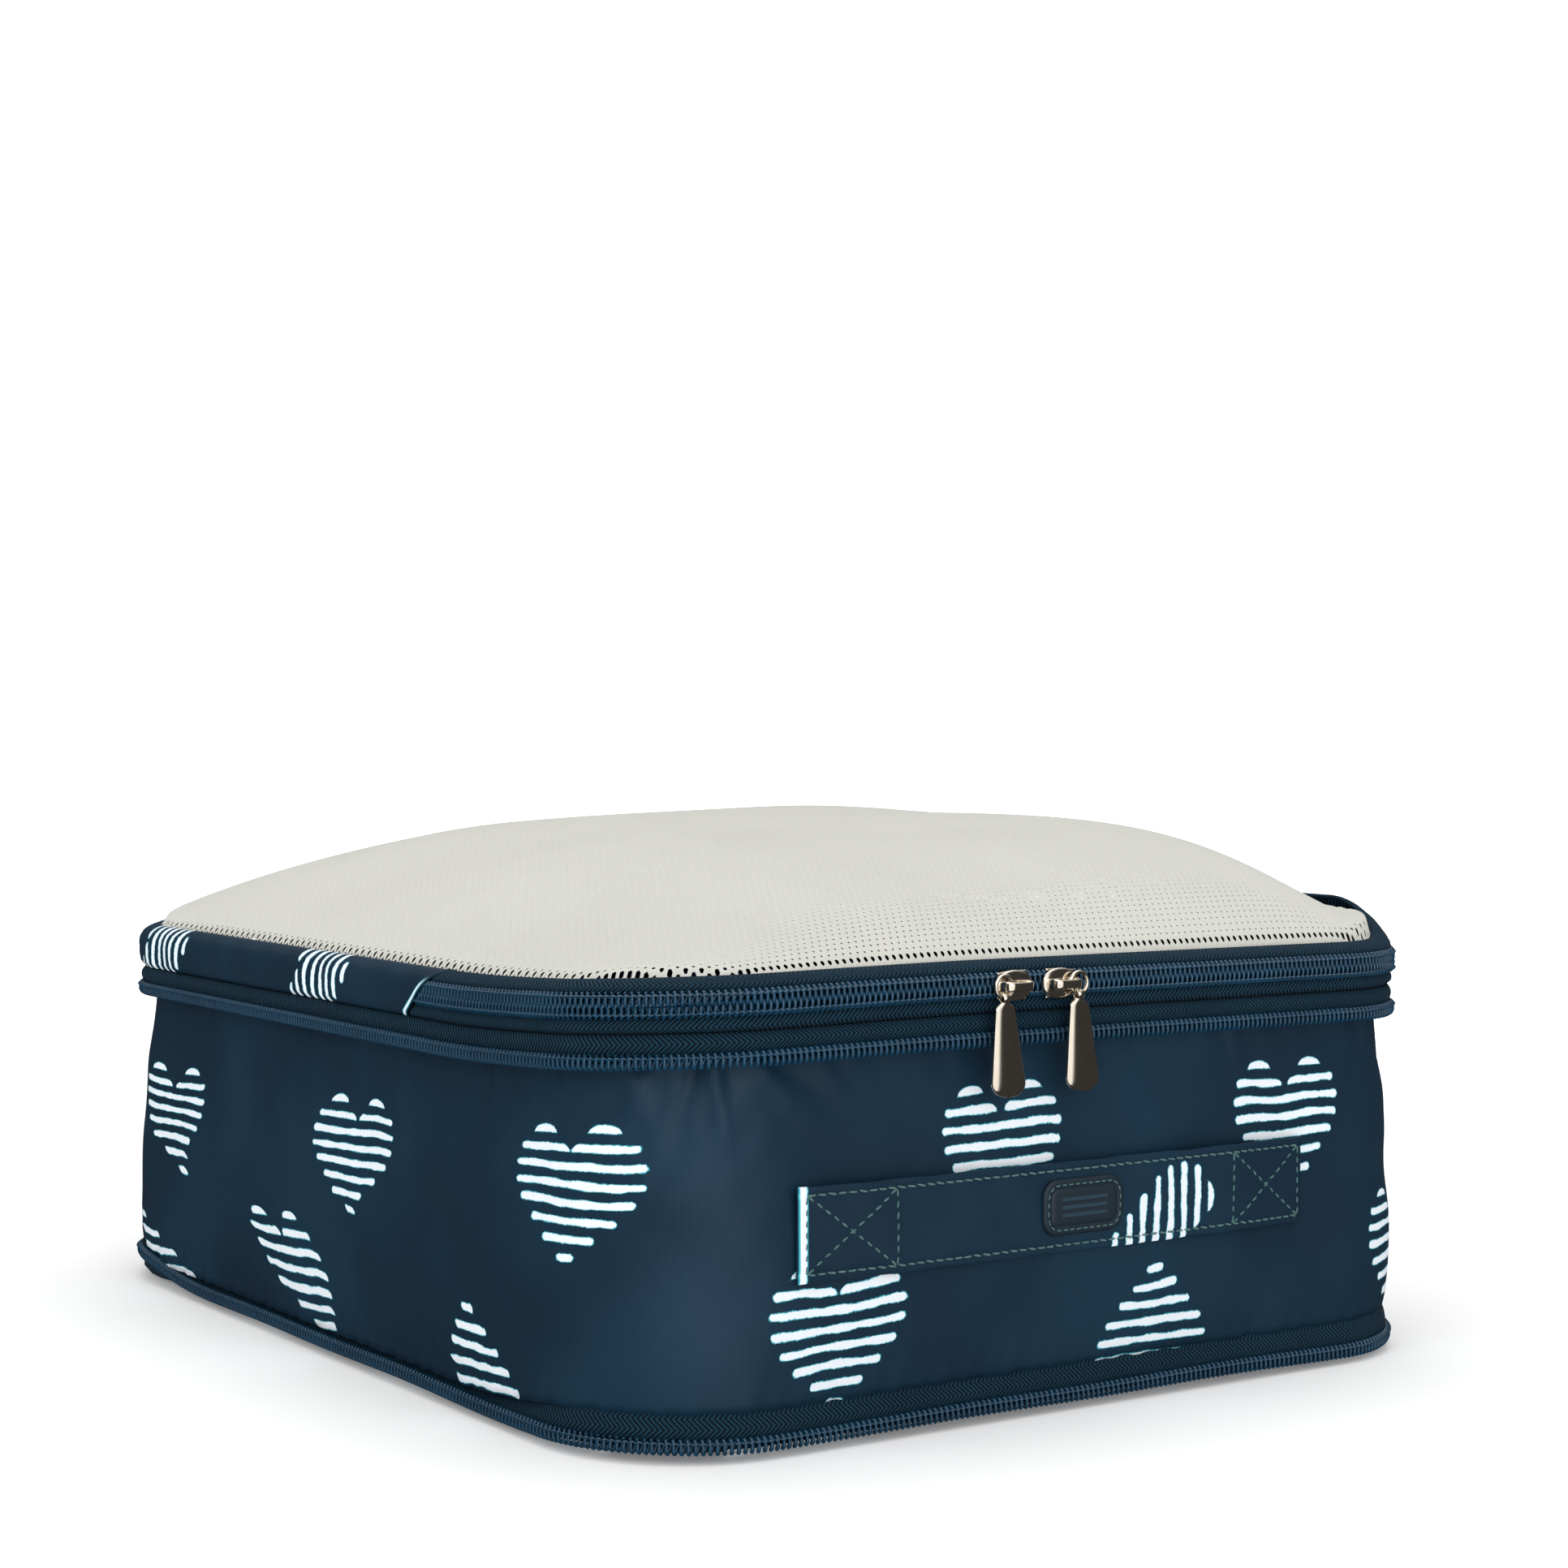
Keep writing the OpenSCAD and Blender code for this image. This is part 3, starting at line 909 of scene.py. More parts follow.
def upper_tape_shape(S, T, out, z):
    return out + 0.22 * noise1(S, 61, 40.0) * np.sin(np.pi * T / T.max()), z


LOWER_SECTION = ((-1.15, 3.6), (-1.1, 5.4), (-0.35, 6.6), (-0.1, 8.2), (-0.5, 10.4), (-1.3, 12.4), (-2.4, 13.4))
UPPER_SECTION = ((-1.2, 103.9), (-1.15, 105.6), (-0.3, 106.9), (0.35, 108.6), (0.1, 110.2), (-0.9, 111.3),
                 (-1.8, 111.5))
lower_tape = band("lower_compression_tape_cloth", S_TAPE, LOWER_SECTION, M_TAPE, shape=low_tape_shape)
lower_coil = coil("lower_compression_coil_spiral", (S0, S1), LOW_Z, False,
                  shape=lambda s, o, z: (o, z + low_wave(s)))
upper_comp_tape = band("upper_compression_tape_cloth", S_TAPE, UPPER_SECTION, M_TAPE, shape=upper_tape_shape)
upper_comp_coil = coil("upper_compression_coil_spiral", (S0, S1), COMP_Z, False, phase=0.3)

S_END = s_at_y(FOLD_Y)


def end_s(z):
    """Arc length of the slanting line where the gusset takes over from the main zip."""
    return s_at_y(FOLD_Y + (SLANT_Z - z) * SLOPE)


def under_end(S, z, out):
    """Tucks the ends of the main zip in behind the gusset's folded edge."""
    return out - 1.1 * smooth(-2.0, 0.5, np.abs(S) - end_s(z))


def slanted_band(name, section, wave):
    """A tape of the main zip, which ends just past the slanting line on both sides."""
    TAU, T, out, z = section_grid(section, 0.8, np.linspace(0, 1, 360))
    S = (2 * TAU - 1) * (end_s(z) + 4.0)
    out = out + 0.22 * noise1(S, wave, 38.0) * np.sin(np.pi * T / T.max())
    return sheet_object(name, place(S, under_end(S, z, out), z), [M_TAPE], np.stack([S, T], -1), 0.5)


MAIN_LOWER_SECTION = ((-1.8, 111.6), (-0.9, 111.8), (0.25, 112.9), (0.3, 114.2), (-0.4, 115.4), (-1.15, 116.2),
                      (-1.25, 118.8))
MAIN_UPPER_SECTION = ((-1.25, 119.2), (-1.15, 121.8), (-0.3, 122.6), (0.0, 123.1), (-0.7, 124.0), (-2.1, 124.9),
                      (-3.9, 125.5), (-5.3, 125.7), (-6.2, 125.5))
main_lower_tape = slanted_band("main_zip_lower_tape_cloth", MAIN_LOWER_SECTION, 73)
main_upper_tape = slanted_band("main_zip_upper_tape_cloth", MAIN_UPPER_SECTION, 79)


def row_shape(s, o, z):
    return under_end(s, z, o), z


lim = end_s(ZIP_Z) + 3.0
main_lower_coil = coil("main_zip_lower_coil_spiral", (-lim, lim), ZIP_Z - 1.5, True, shape=row_shape)
main_upper_coil = coil("main_zip_upper_coil_spiral", (-lim, lim), ZIP_Z + 1.5, False, 0.5, row_shape)


def make_gusset():
    section = [(-1.8, 111.6), (-0.9, 111.7), (0.35, 113.2), (0.75, 116.0), (0.8, 119.3), (0.4, 121.6), (-0.6, 123.4),
               (-2.1, 124.7), (-3.9, 125.5), (-5.3, 125.7), (-6.2, 125.5)]
    TAU, T, out, z = section_grid(section, 0.8, np.linspace(0, 1, 560))
    a = end_s(z)
    S = a * (1 - TAU) + (2 * HALF_LOOP - a) * TAU
    run = np.abs(wrap(S))
    share = np.sin(np.pi * T / T.max())
    out = out + 0.55 * share * noise1(S + 0.3 * z, 83, 33.0) + 0.5 * bell(run - a, 1.4)
    # gathers where the cloth is eased round the back corners
    corner = bell(run - (FRONT_RUN + 2 * SIDE_RUN + 1.55 * ARC), 20.0)
    out = out + share * corner * 0.9 * np.sin(2 * np.pi * (run + 0.3 * z) / 6.2)
    uv = np.stack([run, z], -1)
    return sheet_object("rear_gusset_cloth", place(S, out, z), [M_GUSSET, M_LINING], uv, 0.5)


gusset = make_gusset()


# ------------ bindings inside
def binding(name, reach, count, section):
    return band(name, np.linspace(-reach, reach, count), section, M_BIND, 0.7, 0.3)


frame_binding = binding("frame_seam_binding_tape", HALF_LOOP, 420,
                        [(-1.9, 111.6), (-3.4, 111.8), (-4.4, 112.6), (-4.4, 113.4), (-3.2, 114.0), (-1.9, 113.8)])
base_binding = binding("base_seam_binding_tape", HALF_LOOP, 420,
                       [(-3.3, 11.8), (-4.6, 11.5), (-6.2, 12.0), (-6.4, 12.8), (-5.0, 13.4), (-3.3, 13.2)])
lid_binding = binding("lid_seam_binding_tape", S_END - 8, 300,
                      [(-6.4, 124.2), (-6.3, 122.6), (-6.9, 121.9), (-7.6, 122.5), (-7.7, 124.0)])


def make_back_binding():
    x = np.array([20.0, 20.3, 22.0, 26.0, 30.0, 31.7, 32.0])
    y = np.array([0.35, 0.9, 1.15, 1.3, 1.15, 0.9, 0.35])
    Z, K = np.meshgrid(np.linspace(16.5, 98, 60), np.arange(len(x)), indexing="ij")
    s = HALF_LOOP - x[K]
    P = place(s, wall_out(s, Z) - 0.5 - y[K], Z)
    return sheet_object("back_seam_binding_tape", P, [M_BIND], np.stack([Z, x[K]], -1), 0.3)


back_binding = make_back_binding()

# ------------ the mesh top
def rim_distance(x, y):
    """Distance inside the mesh outline, negative outside it."""
    r = CORNER - RIM_IN
    qx = np.abs(x) - FRONT_RUN
    qy = np.abs(y) - SIDE_RUN
    outside = np.hypot(np.maximum(qx, 0), np.maximum(qy, 0))
    inside = np.minimum(np.maximum(qx, qy), 0)
    return r - (outside + inside)


def crown_z(x, y):
    """Height of the mesh top: crowned, dented a little, and sewn down along its rim."""
    u = x / (HALF_X - RIM_IN)
    v = y / (HALF_Y - RIM_IN)
    power = np.where(u > 0, 6.6, 3.3)
    lift = (1 - np.abs(u) ** power).clip(0) * (1 - np.abs(v) ** 5.0).clip(0)
    lift = lift * (CROWN_H + RIM_Z - NET_Z) * (0.945 + 0.22 * u + 0.05 * v)
    d = rim_distance(x, y)
    edge = 1.9 * (1 - fade(d - 0.4, 2.0))
    ripple = 0.55 * noise2(x, y, 91, 150.0, 190.0) * smooth(3, 30, d)
    dip = -2.2 * bell(x + 112, 26.0) * bell(y + 92, 38.0) * smooth(2, 12, d)
    dip -= 5.5 * bell(x - 134, 27.0) * bell(y + 130, 42.0) * smooth(0.5, 9, d)
    under = -0.75 + 0.42 * np.clip(d, -3, 0.6)
    # round the raised corner the net is sewn lower down on the tape, whose edge stands up behind it
    sunk = 3.6 * smooth(118, 140, x) * smooth(-174, -156, y) * (1 - smooth(-95, -15, y))
    rise = (raised(x, y) - sunk) * fade(d, 7.0)
    return NET_Z + under + (lift + edge + ripple + dip) * smooth(0.2, 2.4, d) - droop(x, y) + rise


CELL, HOLE_R = 2.35, 0.82


def net(name, keep):
    """A knitted net: a sheet of six-sided cells, each with an open hole and raised yarn between holes."""
    nx = int(2 * HALF_X / CELL) + 4
    ny = int(2 * HALF_Y / (CELL * 0.866)) + 4
    j, i = np.meshgrid(np.arange(-ny // 2, ny // 2 + 1), np.arange(-nx // 2, nx // 2 + 1), indexing="ij")
    cx = ((i + 0.5 * (j & 1)) * CELL).ravel()
    cy = (j * CELL * math.sqrt(3) / 2).ravel()
    ok = (rim_distance(cx, cy) > -1.6) & keep(cx, cy)
    cx, cy = cx[ok], cy[ok]
    ang = np.radians(30 + 60 * np.arange(6))

    def corners(radius):
        return (cx[:, None] + radius * np.cos(ang)).ravel(), (cy[:, None] + radius * np.sin(ang)).ravel()

    key = np.round(np.stack(corners(CELL / math.sqrt(3)), 1), 3)
    uniq, inverse = np.unique(key, axis=0, return_inverse=True)
    inverse = inverse.reshape(-1, 6)
    # the holes are wider along the rim, and smaller where the yarn looks dense
    inner = smooth(0.8, 4.8, rim_distance(cx, cy))
    tight = 0.42 * smooth(108, 130, cx) * (1 - inner) * (1 - smooth(-60, 20, cy))
    tight = tight + 0.07 * smooth(-70, -20, cx) * (1 - smooth(-100, -40, cy)) * inner
    open_r = (HOLE_R - 0.51 * inner - tight)[:, None]
    hx, hy = corners(open_r)
    x = np.r_[uniq[:, 0], hx]
    y = np.r_[uniq[:, 1], hy]
    lift = np.r_[np.full(len(uniq), 0.28), np.full(len(hx), -0.24)]
    # pull stray corners back to the outline
    for _ in range(3):
        d, eps = rim_distance(x, y), 0.01
        gx = (rim_distance(x + eps, y) - rim_distance(x - eps, y)) / (2 * eps)
        gy = (rim_distance(x, y + eps) - rim_distance(x, y - eps)) / (2 * eps)
        push = np.clip(-2.0 - d, 0, None)
        x, y = x + gx * push, y + gy * push
    hole_id = len(uniq) + np.arange(len(hx)).reshape(-1, 6)
    pairs = [(k, (k + 1) % 6) for k in range(6)]
    faces = np.concatenate([np.stack([inverse[:, a], inverse[:, b], hole_id[:, b], hole_id[:, a]], 1)
                            for a, b in pairs])
    obj = new_object(name, points(x, y, crown_z(x, y) + lift), faces, [M_NET])
    # flat area of the net itself: its cells less their holes
    area = float(np.sum(math.sqrt(3) / 2 * CELL * CELL - 1.5 * math.sqrt(3) * open_r ** 2))
    return obj, area


lid_net, lid_area = net("lid_mesh_net", lambda x, y: y < FOLD_Y)
rear_net, rear_area = net("rear_mesh_net", lambda x, y: y >= FOLD_Y)

# ------------ strap, stitches and badge
def strap_out(x, z):
    """Middle of the strap's thickness, mm outside the zip line."""
    q = np.abs(2 * (x - STRAP_X) / STRAP_L)
    bow = 1.5 * np.clip(1 - q ** 5, 0, 1)
    puff = 0.35 * np.sin(np.clip((z - STRAP_Z) / STRAP_W, 0, 1) * math.pi) * smooth(1.0, 0.62, q)
    return 0.2 + bow + puff + 0.22 * noise1(x + 0.5 * z, 97, 27.0)


def rounder(values, power):
    """Sines or cosines drawn out towards a box's corners."""
    return np.sign(values) * np.abs(values) ** power


LEFT_END, RIGHT_END = STRAP_X - STRAP_L / 2, STRAP_X + STRAP_L / 2
STITCH_IN, HALF_T = 2.2, 0.85
STRAP_TOP = STRAP_Z + STRAP_W


def make_strap():
    phi = circle(56)
    zz = rounder(np.sin(phi), 0.28) * STRAP_W / 2
    yy = rounder(np.cos(phi), 0.62) * HALF_T
    xs = np.linspace(LEFT_END, RIGHT_END, 260)
    end = np.minimum(xs - xs[0], xs[-1] - xs)
    squeeze = np.sqrt(np.clip(1 - (1 - np.clip(end / 0.8, 0, 1)) ** 2, 0.0, 1))
    squeeze = np.maximum(squeeze, 0.05)[:, None]
    X, K = np.meshgrid(xs, np.arange(len(phi)), indexing="ij")
    edge = 0.35 * noise1(xs, 99, 31.0)[:, None]
    Z = STRAP_Z + STRAP_W / 2 + zz[K] * (1 - 0.01 * (1 - squeeze)) + edge * np.sign(zz[K]) * 0.5
    out = strap_out(X, Z) + yy[K] * squeeze
    # dimples along the lines of stitching
    near = np.minimum(np.abs(Z - STRAP_Z - STITCH_IN), np.abs(Z - STRAP_TOP + STITCH_IN))
    out = out - np.where(yy[K] > 0, 0.28 * bell(near, 0.7), 0)
    verts, faces = loft(points(X, -(HALF_Y + out), Z))
    uv = np.stack([X, Z - STRAP_Z], -1).reshape(-1, 2)
    return new_object("handle_strap_cloth", verts, faces, [M_STRAP], uv, outward=True)


strap = make_strap()


def stitch_run(p0, p1, length=2.5, gap=0.65):
    """Short segments in the plane of the strap, from p0 to p1."""
    p0, p1 = np.array(p0, float), np.array(p1, float)
    total = np.linalg.norm(p1 - p0)
    n = max(1, int(round(total / (length + gap))))
    step = total / n
    d = (p1 - p0) / total
    side = np.array([-d[1], d[0]])
    out = []
    for k in range(n):
        a = p0 + d * (k * step + gap / 2)
        b = p0 + d * ((k + 1) * step - gap / 2)
        lean = side * rng.uniform(-0.18, 0.18)
        out.append((a - lean + side * 0.12, b + lean - side * 0.12))
    return out


def stitches(name, runs, surface, radius=0.31, proud=0.16):
    """Threads that rise out of a surface and go back in, one for each segment of the runs."""
    parts = []
    t = np.linspace(0, 1, 7)
    bulge = np.sin(np.pi * t)
    r = radius * (0.45 + 0.55 * np.sqrt(np.clip(bulge, 0, 1)))
    for a, b in (segment for run in runs for segment in run):
        x, z = (a + (b - a) * t[:, None]).T
        out = surface(x, z) + proud * bulge - 0.16 * (1 - bulge)
        parts.append(tube(points(x, -(HALF_Y + out), z), r, 6, up=(0.0, 1.0, 0.05)))
    return new_object(name, *merge(parts), [M_THREAD])


def box_runs(x0, x1, z0, z1):
    """A box of stitching with a cross in it."""
    a, b, c, d = (x0, z0), (x1, z0), (x1, z1), (x0, z1)
    return [stitch_run(*ends) for ends in ((a, b), (b, c), (c, d), (d, a), (a, c), (d, b))]


low, high = STRAP_Z + STITCH_IN, STRAP_TOP - STITCH_IN
box_l, box_r = LEFT_END + 31, RIGHT_END - 29
runs = box_runs(LEFT_END + 2.6, box_l, low, high) + box_runs(box_r, RIGHT_END - 2.2, low, high)
runs += [stitch_run((box_l, z), (box_r, z)) for z in (low, high)]
strap_stitches = stitches("handle_strap_stitching", runs, lambda x, z: strap_out(x, z) + HALF_T - 0.2)


def rounded(w, h, r, per=10):
    """A rectangle with rounded corners, as a ring of (x, z) points."""
    pts = []
    for sx, sy, a0 in ((1, 1, 0), (-1, 1, 90), (-1, -1, 180), (1, -1, 270)):
        for a in np.radians(np.linspace(a0, a0 + 90, per)):
            pts.append((sx * (w / 2 - r) + r * math.cos(a), sy * (h / 2 - r) + r * math.sin(a)))
    return np.array(pts)


BADGE_Z, BADGE_BACK = STRAP_Z + STRAP_W / 2 + 0.3, 2.55


def make_badge():
    levels = ((0.0, 0.0), (0.05, 0.9), (0.35, 1.35), (0.9, 1.5), (2.2, 1.5), (2.45, 1.35), (2.75, 1.35), (3.05, 1.62),
              (3.6, 1.72), (4.6, 1.74))
    rings = []
    for inset, up in levels:
        o = rounded(BADGE_L - 2 * inset, BADGE_H - 2 * inset, max(5.0 - inset, 0.5))
        rings.append(points(o[:, 0] + BADGE_X, -(HALF_Y + BADGE_BACK + up), o[:, 1] + BADGE_Z))
    verts, faces = loft(rings)
    # the front is closed by a fan of faces round its middle
    *faces, back, front = faces
    m = len(front)
    faces += [(front[i], front[(i + 1) % m], len(verts)) for i in range(m)] + [back]
    verts = np.vstack([verts, [[BADGE_X, -(HALF_Y + BADGE_BACK + 1.76), BADGE_Z]]])
    uv = np.stack([verts[:, 0] - BADGE_X, verts[:, 2] - BADGE_Z], 1)
    return new_object("handle_badge_rubber", verts, faces, [M_RUBBER], uv, outward=True)


badge = make_badge()


def badge_stitches():
    o = rounded(BADGE_L - 3.1, BADGE_H - 3.1, 3.6, 14)
    o = np.vstack([o, o[:1]])
    total = lengths(o)[-1]
    n = int(total / 2.3)
    a, b = (at_length(o, (np.arange(n) + part) * total / n) + [BADGE_X, BADGE_Z] for part in (0.12, 0.88))
    return stitches("handle_badge_stitching", [list(zip(a, b))], lambda x, z: BADGE_BACK + 1.5, radius=0.2,
                    proud=0.08)


badge_thread = badge_stitches()


def back_stitches():
    """Two rows of stitches down the lapped seam of the back wall."""
    parts = []
    t = np.linspace(0, 1, 6)
    for dx in (-1.8, 1.8):
        z = 15.0
        while z < 101:
            zz = z + 2.4 * t
            s = np.full(6, HALF_LOOP - 26.0 + dx)
            out = wall_out(s, zz) + 0.02 + 0.16 * np.sin(np.pi * t)
            parts.append(tube(place(s, out, zz), 0.2, 5, up=(1.0, 0.1, 0.0)))
            z += 3.1
    return new_object("back_seam_stitching", *merge(parts), [M_THREAD])


seam_thread = back_stitches()


# ------------ sliders, rings and pulls
ROW_R, LIFT_GAP, PLATE_T, TUNNEL, WIRE_RISE, RING_SHIFT, RING_D = 1.25, 1.3, 0.9, 3.1, 1.6, 1.6, 6.0
FACE = ROW_R + LIFT_GAP
RING_Y = -(FACE + PLATE_T + WIRE_RISE)


def plate_outline(inset, hand):
    """The slider's plate: broad at its nose, drawn in to a rounded tail under the ring."""
    th = circle(64)
    x = rounder(np.cos(th), 0.82) * (6.5 - inset)
    q = x / 6.5 * hand
    w = 4.25 - 0.95 * smooth(0.0, 1.0, q) - 0.25 * smooth(0.2, 1.0, -q)
    return x, rounder(np.sin(th), 0.8) * (w - inset)


PLATE_LEVELS = ((0.55, 0.0), (0.15, 0.05), (0.0, 0.28), (0.0, 0.5), (0.18, 0.8), (0.6, 0.96), (1.6, 1.06),
                (3.2, 1.12))


def slider_parts(hand):
    parts = []
    for sign, face in ((-1, FACE), (1, ROW_R + 0.4)):
        rings = []
        for inset, up in PLATE_LEVELS:
            x, z = plate_outline(inset, hand)
            rings.append(points(x, sign * (face + up), z))
        parts.append(loft(rings))
    t = circle(16)
    parts.append(loft([points(-hand * 2.4 + r * np.cos(t), y, 0.45 * np.sin(t)) for y, r in (
        (-FACE - 0.2, 1.1), (-FACE + 0.4, 0.7), (0.0, 0.55), (ROW_R, 0.7), (ROW_R + 0.6, 1.1))]))
    # the bridge: a flat bar bent down into the plate at both ends
    top = FACE + PLATE_T + TUNNEL + 0.25
    half = [(-4.6, -FACE - 0.4), (-4.55, -FACE - 1.6), (-4.4, -top + 1.1), (-3.9, -top + 0.35), (-3.0, -top)]
    line = np.array(half + [(0.0, -top - 0.12)] + [(-x, y) for x, y in half[::-1]])
    px, py = at_length(line, np.linspace(0, lengths(line)[-1], 48)).T
    tx, ty = np.gradient(px), np.gradient(py)
    nx, ny = -ty / np.hypot(tx, ty), tx / np.hypot(tx, ty)
    width = 1.2 + 0.25 * smooth(3.0, 4.6, np.abs(px))
    ca, sa = rounder(np.cos(circle(20)), 0.55), rounder(np.sin(circle(20)), 0.75)
    parts.append(loft([points(px[k] + nx[k] * 0.42 * sa, py[k] + ny[k] * 0.42 * sa, width[k] * ca)
                       for k in range(48)]))
    # side lips that guide the rows
    x = np.linspace(-5.0, 5.0, 24)
    for side in (-1, 1):
        z = side * (3.75 - 0.5 * smooth(0.0, 5.0, x * hand))
        parts.append(tube(points(x, -FACE + 0.25, z), 0.36, 8, up=(0, 1, 0.1)))
    return parts


def ring_parts(hand):
    t = circle(48)
    x = hand * (RING_SHIFT + RING_D / 2) + RING_D / 2 * np.cos(t)
    return [tube(points(x, RING_Y, RING_D / 2 * np.sin(t)), 0.55, 14, closed=True, up=(0, 1, 0))]


def pull_parts(hand, length, wide):
    # eye round the ring's wire
    t = circle(28)
    sec = [(-1.2, 0.95), (-1.2, 1.2), (-1.0, 1.4), (0.0, 1.46), (1.0, 1.4), (1.2, 1.2), (1.2, 0.95), (1.0, 0.82),
           (0.0, 0.8), (-1.0, 0.82)]
    eye = loft([points(x, r * np.cos(t), r * np.sin(t)) for x, r in sec], capped=False)
    # the blade, rounded across and thickest at its far end, leaning a little to one side
    lean = math.radians(4)
    dist = np.r_[np.linspace(0.9, 3.0, 8), np.linspace(3.4, length - wide / 2, 30),
                 length - wide / 2 + wide / 2 * np.sin(np.linspace(0.08, 1.0, 16) * np.pi / 2)]
    rings = []
    ca, sa = rounder(np.cos(circle(36)), 0.8), rounder(np.sin(circle(36)), 0.72)
    for z in dist:
        taper = 3.1 + (wide / 2 + 0.7 - 3.1) * np.clip((z - 1.5) / (length - 5.0), 0, 1) ** 0.95
        over = np.clip((z - (length - 4.6)) / 4.6, 0, 0.9999)
        w = max(taper * (1 - over ** 2.5) ** (1 / 2.3), 0.05)
        thick = (0.75 + 0.3 * smooth(2.0, length, z)) * max(1 - over ** 3, 0.05) ** 0.5
        if z < 3.0:
            w = 1.3 + 1.9 * smooth(0.9, 3.0, z)
        x = w * ca * math.cos(lean) + z * math.sin(lean)
        rings.append(points(x, thick * sa, -z * math.cos(lean)))
    hang = np.array([hand * (RING_SHIFT + RING_D / 2), RING_Y, -RING_D / 2])
    return [(v + hang, f) for v, f in (eye, loft(rings))]


def to_front(parts, x):
    return [(v + np.array([x, -HALF_Y, ZIP_Z]), f) for v, f in parts]


def to_back(parts):
    return [(v * np.array([-1, -1, 1]) + np.array([BACK_X, HALF_Y, COMP_Z - 2.1]), f) for v, f in parts]


def metal(name, parts):
    obj = new_object(name, *merge(parts), [M_METAL], outward=True)
    obj.modifiers.new("weighted", "WEIGHTED_NORMAL")
    return obj


FRONT_PULL, BACK_PULL = (27.0, 10.4), (16.0, 7.8)
hardware = {}
for kind, part, make, front, back in (("slider", "body", slider_parts, (), ()), ("ring", "wire", ring_parts, (), ()),
                                      ("pull", "blade", pull_parts, FRONT_PULL, BACK_PULL)):
    for node, parts in ((kind + "_left", to_front(make(-1, *front), LEFT_X)),
                        (kind + "_right", to_front(make(1, *front), RIGHT_X)),
                        ("compression_" + kind, to_back(make(-1, *back)))):
        hardware[node] = metal(node + "_" + part, parts)

for node in ("insertion_pin", "retainer_box"):
    obj = frame["nodes"][node]
    obj.data.materials.clear()
    obj.data.materials.append(M_FIT)
    bevel = obj.modifiers.new("soft_edges", "BEVEL")
    bevel.width, bevel.segments = 0.35 * MM, 3

# ------------ what rides on what
ALONG_UP = (0, 0, 1)
SEAM = (0, 0, SEAM_Z * MM)
KEEP = (96.0 - 82.0) / 96.0
for obj, node, slot_name in ((wall, "body_wall", "printed_nylon"), (strap, "handle_strap", "printed_nylon"),
                             (badge, "handle_badge", "badge_rubber"),
                             (back_binding, "back_seam_binding", "binding_tape")):
    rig.replaces(obj, node)
    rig.slot(obj, slot_name)
for obj in (wall, strap, badge, back_binding, strap_stitches, badge_thread, seam_thread):
    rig.ride(obj, "base")
    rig.squash(obj, "compression", axis=ALONG_UP, anchor=SEAM, keep=KEEP)
for obj, node, body, slot_name in (
        (base, "base_panel", "base", "printed_nylon"),
        (base_binding, "base_seam_binding", "base", "binding_tape"),
        (lower_tape, "lower_compression_tape", "base", "zip_tape"),
        (lower_coil, "lower_compression_coil", "base", "zip_coil"),
        (upper_comp_tape, "upper_compression_tape", "top_frame", "zip_tape"),
        (upper_comp_coil, "upper_compression_coil", "top_frame", "zip_coil"),
        (main_lower_tape, "main_zip_lower_tape", "top_frame", "zip_tape"),
        (main_lower_coil, "main_zip_lower_coil", "top_frame", "zip_coil"),
        (gusset, "rear_gusset", "top_frame", "printed_nylon"),
        (frame_binding, "frame_seam_binding", "top_frame", "binding_tape")):
    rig.replaces(obj, node)
    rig.ride(obj, body)
    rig.slot(obj, slot_name)
BEND_BACK, BEND_FRONT = (0, (FOLD_Y + 22) * MM, 0), (0, (FOLD_Y - 22) * MM, 0)
for obj, node, slot_name in ((lid_net, "lid_mesh", "mesh_net"), (rear_net, "rear_mesh", "mesh_net"),
                             (main_upper_tape, "main_zip_upper_tape", "zip_tape"),
                             (main_upper_coil, "main_zip_upper_coil", "zip_coil"),
                             (lid_binding, "lid_seam_binding", "binding_tape")):
    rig.replaces(obj, node)
    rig.slot(obj, slot_name)
    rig.blend(obj, "top_frame", "lid", start=BEND_BACK, end=BEND_FRONT)
for node, obj in hardware.items():
    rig.replaces(obj, node)
    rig.ride(obj, node)
    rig.slot(obj, "zip_metal")

# ------------ cloth sizes
NET_W, NET_L = CASE_W - 2 * (RIM_IN - 2), CASE_D - 2 * (RIM_IN - 2)
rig.sheet(lid_net, flat=(NET_W * MM, (FOLD_Y + NET_L / 2) * MM), held="stretched",
         rests_on=["main_zip_upper_tape_cloth"], area=lid_area * MM * MM)
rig.sheet(rear_net, flat=(NET_W * MM, (NET_L / 2 - FOLD_Y) * MM), held="stretched",
         rests_on=["rear_gusset_cloth"], area=rear_area * MM * MM)
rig.sheet(wall, flat=(2 * HALF_LOOP * MM, 0.1), held="stretched", rests_on=["lower_compression_tape_cloth"],
         with_pieces=[seam_thread])
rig.sheet(gusset, flat=(2 * (HALF_LOOP - S_END) * MM, 0.022), held="stretched",
         rests_on=["upper_compression_tape_cloth"])
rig.sheet(base, flat=(CASE_W * MM, CASE_D * MM), held="stretched", rests_on=["lower_compression_tape_cloth"])

# ------------ stage, light and camera
WHITE = (1, 1, 1, 1)


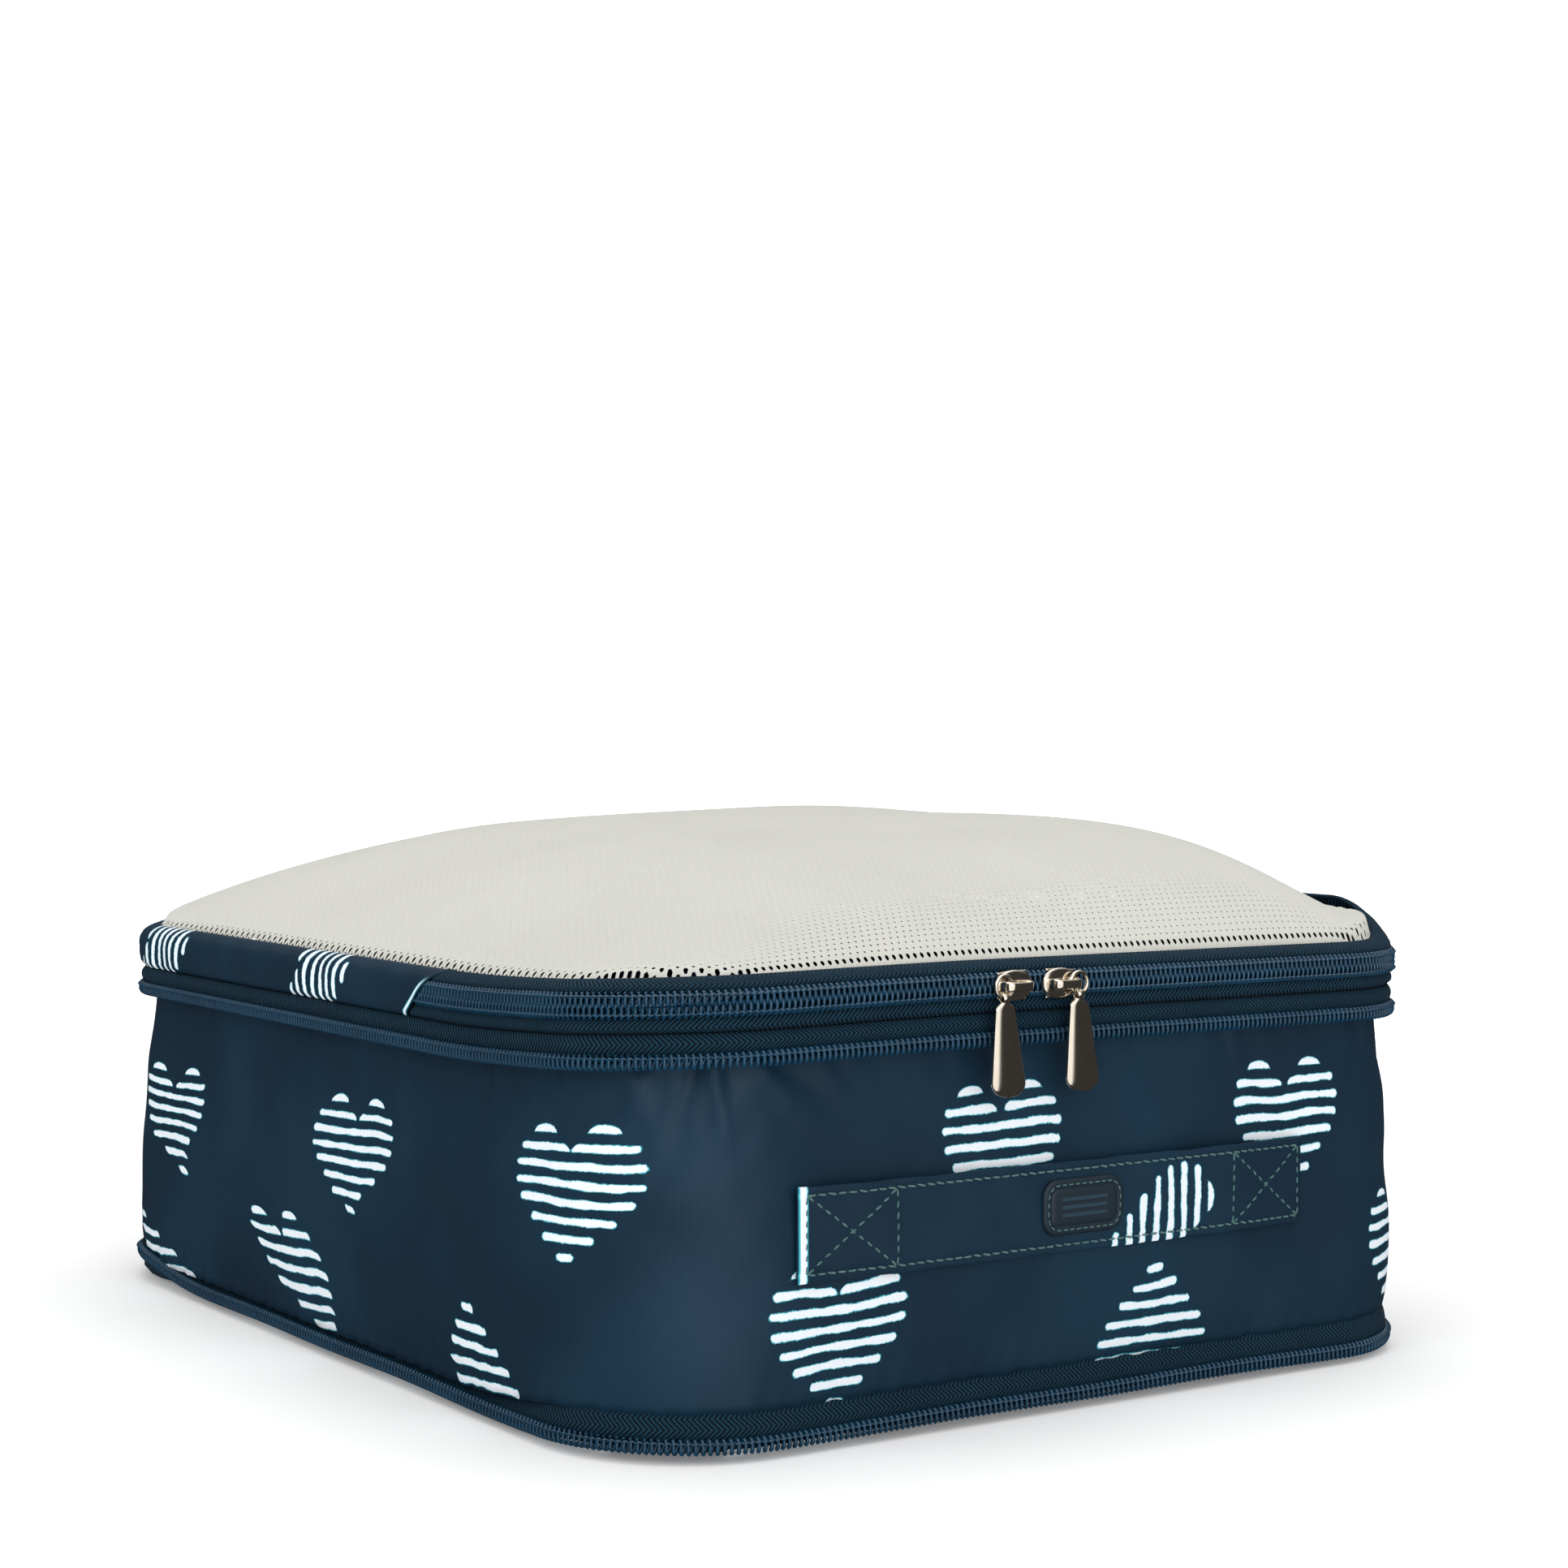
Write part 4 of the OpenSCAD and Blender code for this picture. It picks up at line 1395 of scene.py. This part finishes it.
def stage_floor(size=30.0):
    k = material("stage_floor")
    pos = k.here()
    away = k.ramp(k.vector("LENGTH", pos, out=1), 450.0, 1300.0)
    base = k.mix(k.noise(pos, 0.3) * 0.2, rgb(251, 251, 251), rgb(247, 247, 248))
    k.set(base, 0.9, Specular_IOR_Level=0.05, Emission_Color=WHITE, Emission_Strength=away * 0.72 + 0.14)
    mesh = bpy.data.meshes.new("stage_floor")
    mesh.from_pydata([(-size, -size, 0), (size, -size, 0), (size, size, 0), (-size, size, 0)], [], [(0, 1, 2, 3)])
    mesh.materials.append(k.owner)
    obj = in_scene("stage_floor", mesh)
    obj.visible_glossy = False
    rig.stage(obj)


stage_floor()


def area_light(name, place_at, target, size, power):
    light = bpy.data.lights.new(name, "AREA")
    light.shape = "RECTANGLE"
    light.size, light.size_y = size
    light.energy = power
    obj = in_scene(name, light)
    obj.location = place_at
    obj.rotation_mode = "QUATERNION"
    obj.rotation_quaternion = (Vector(target) - Vector(place_at)).to_track_quat("-Z", "Y")


area_light("front_card", (-0.55, -1.8, 0.7), (0, 0, 0.08), (0.9, 1.2), 7)
area_light("top", (0.1, 0.1, 1.9), (0, 0, 0.1), (2.0, 2.0), 17)
area_light("side", (-1.7, -0.6, 1.1), (0, 0, 0.08), (1.0, 1.0), 7)


def studio():
    """A white surround, which shiny things see as a pale sky with one bright card in it."""
    world = bpy.data.worlds.new("studio")
    bpy.context.scene.world = world
    k = Nodes(world)
    background = k.tree.nodes["Background"].inputs
    ray = k.node("ShaderNodeLightPath").outputs
    sky = k.get("ShaderNodeTexCoord", out="Generated")
    above = k.ramp(k.xyz(sky)[2], 0.3, 0.9, 0.05, 0.9)
    toward = k.vector("DOT_PRODUCT", sky, (-0.27, -0.96, 0.05), out="Value")
    strength = above + k.ramp(toward, 0.68, 0.80, 0.0, 1.35)
    for kind, low, high in (("Is Glossy Ray", SKY_SOFT, strength), ("Is Camera Ray", None, 1.1)):
        strength = k.get("ShaderNodeMix", {0: Val(k, ray[kind]), 2: strength if low is None else low, 3: high},
                         data_type="FLOAT")
    k.join(background["Strength"], strength)
    background["Color"].default_value = WHITE
    bpy.context.scene.view_settings.view_transform = "Standard"


studio()


def photo_camera():
    yaw, pitch, roll = math.radians(34.888), math.radians(1.0405), 0.0089
    ahead = Vector((math.sin(yaw) * math.cos(pitch), math.cos(yaw) * math.cos(pitch), -math.sin(pitch)))
    right = Vector((math.cos(yaw), -math.sin(yaw), 0))
    up = right.cross(ahead)
    r = right * math.cos(roll) + up * math.sin(roll)
    u = up * math.cos(roll) - right * math.sin(roll)
    data = bpy.data.cameras.new("camera")
    data.sensor_width = 36.0
    data.lens = 65.79
    data.clip_start, data.clip_end = 0.01, 100
    cam = in_scene("camera", data)
    rot = Matrix((r, u, -ahead)).transposed()
    cam.matrix_world = Matrix.Translation((-0.52296, -0.77717, 0.18704)) @ rot.to_4x4()
    bpy.context.scene.camera = cam


photo_camera()

VISUAL_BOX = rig.bounds()
with open("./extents.json", "w") as f:
    json.dump({"cad": [list(CAD_BOX[0]), list(CAD_BOX[1])], "visual": [list(VISUAL_BOX[0]), list(VISUAL_BOX[1])]}, f)
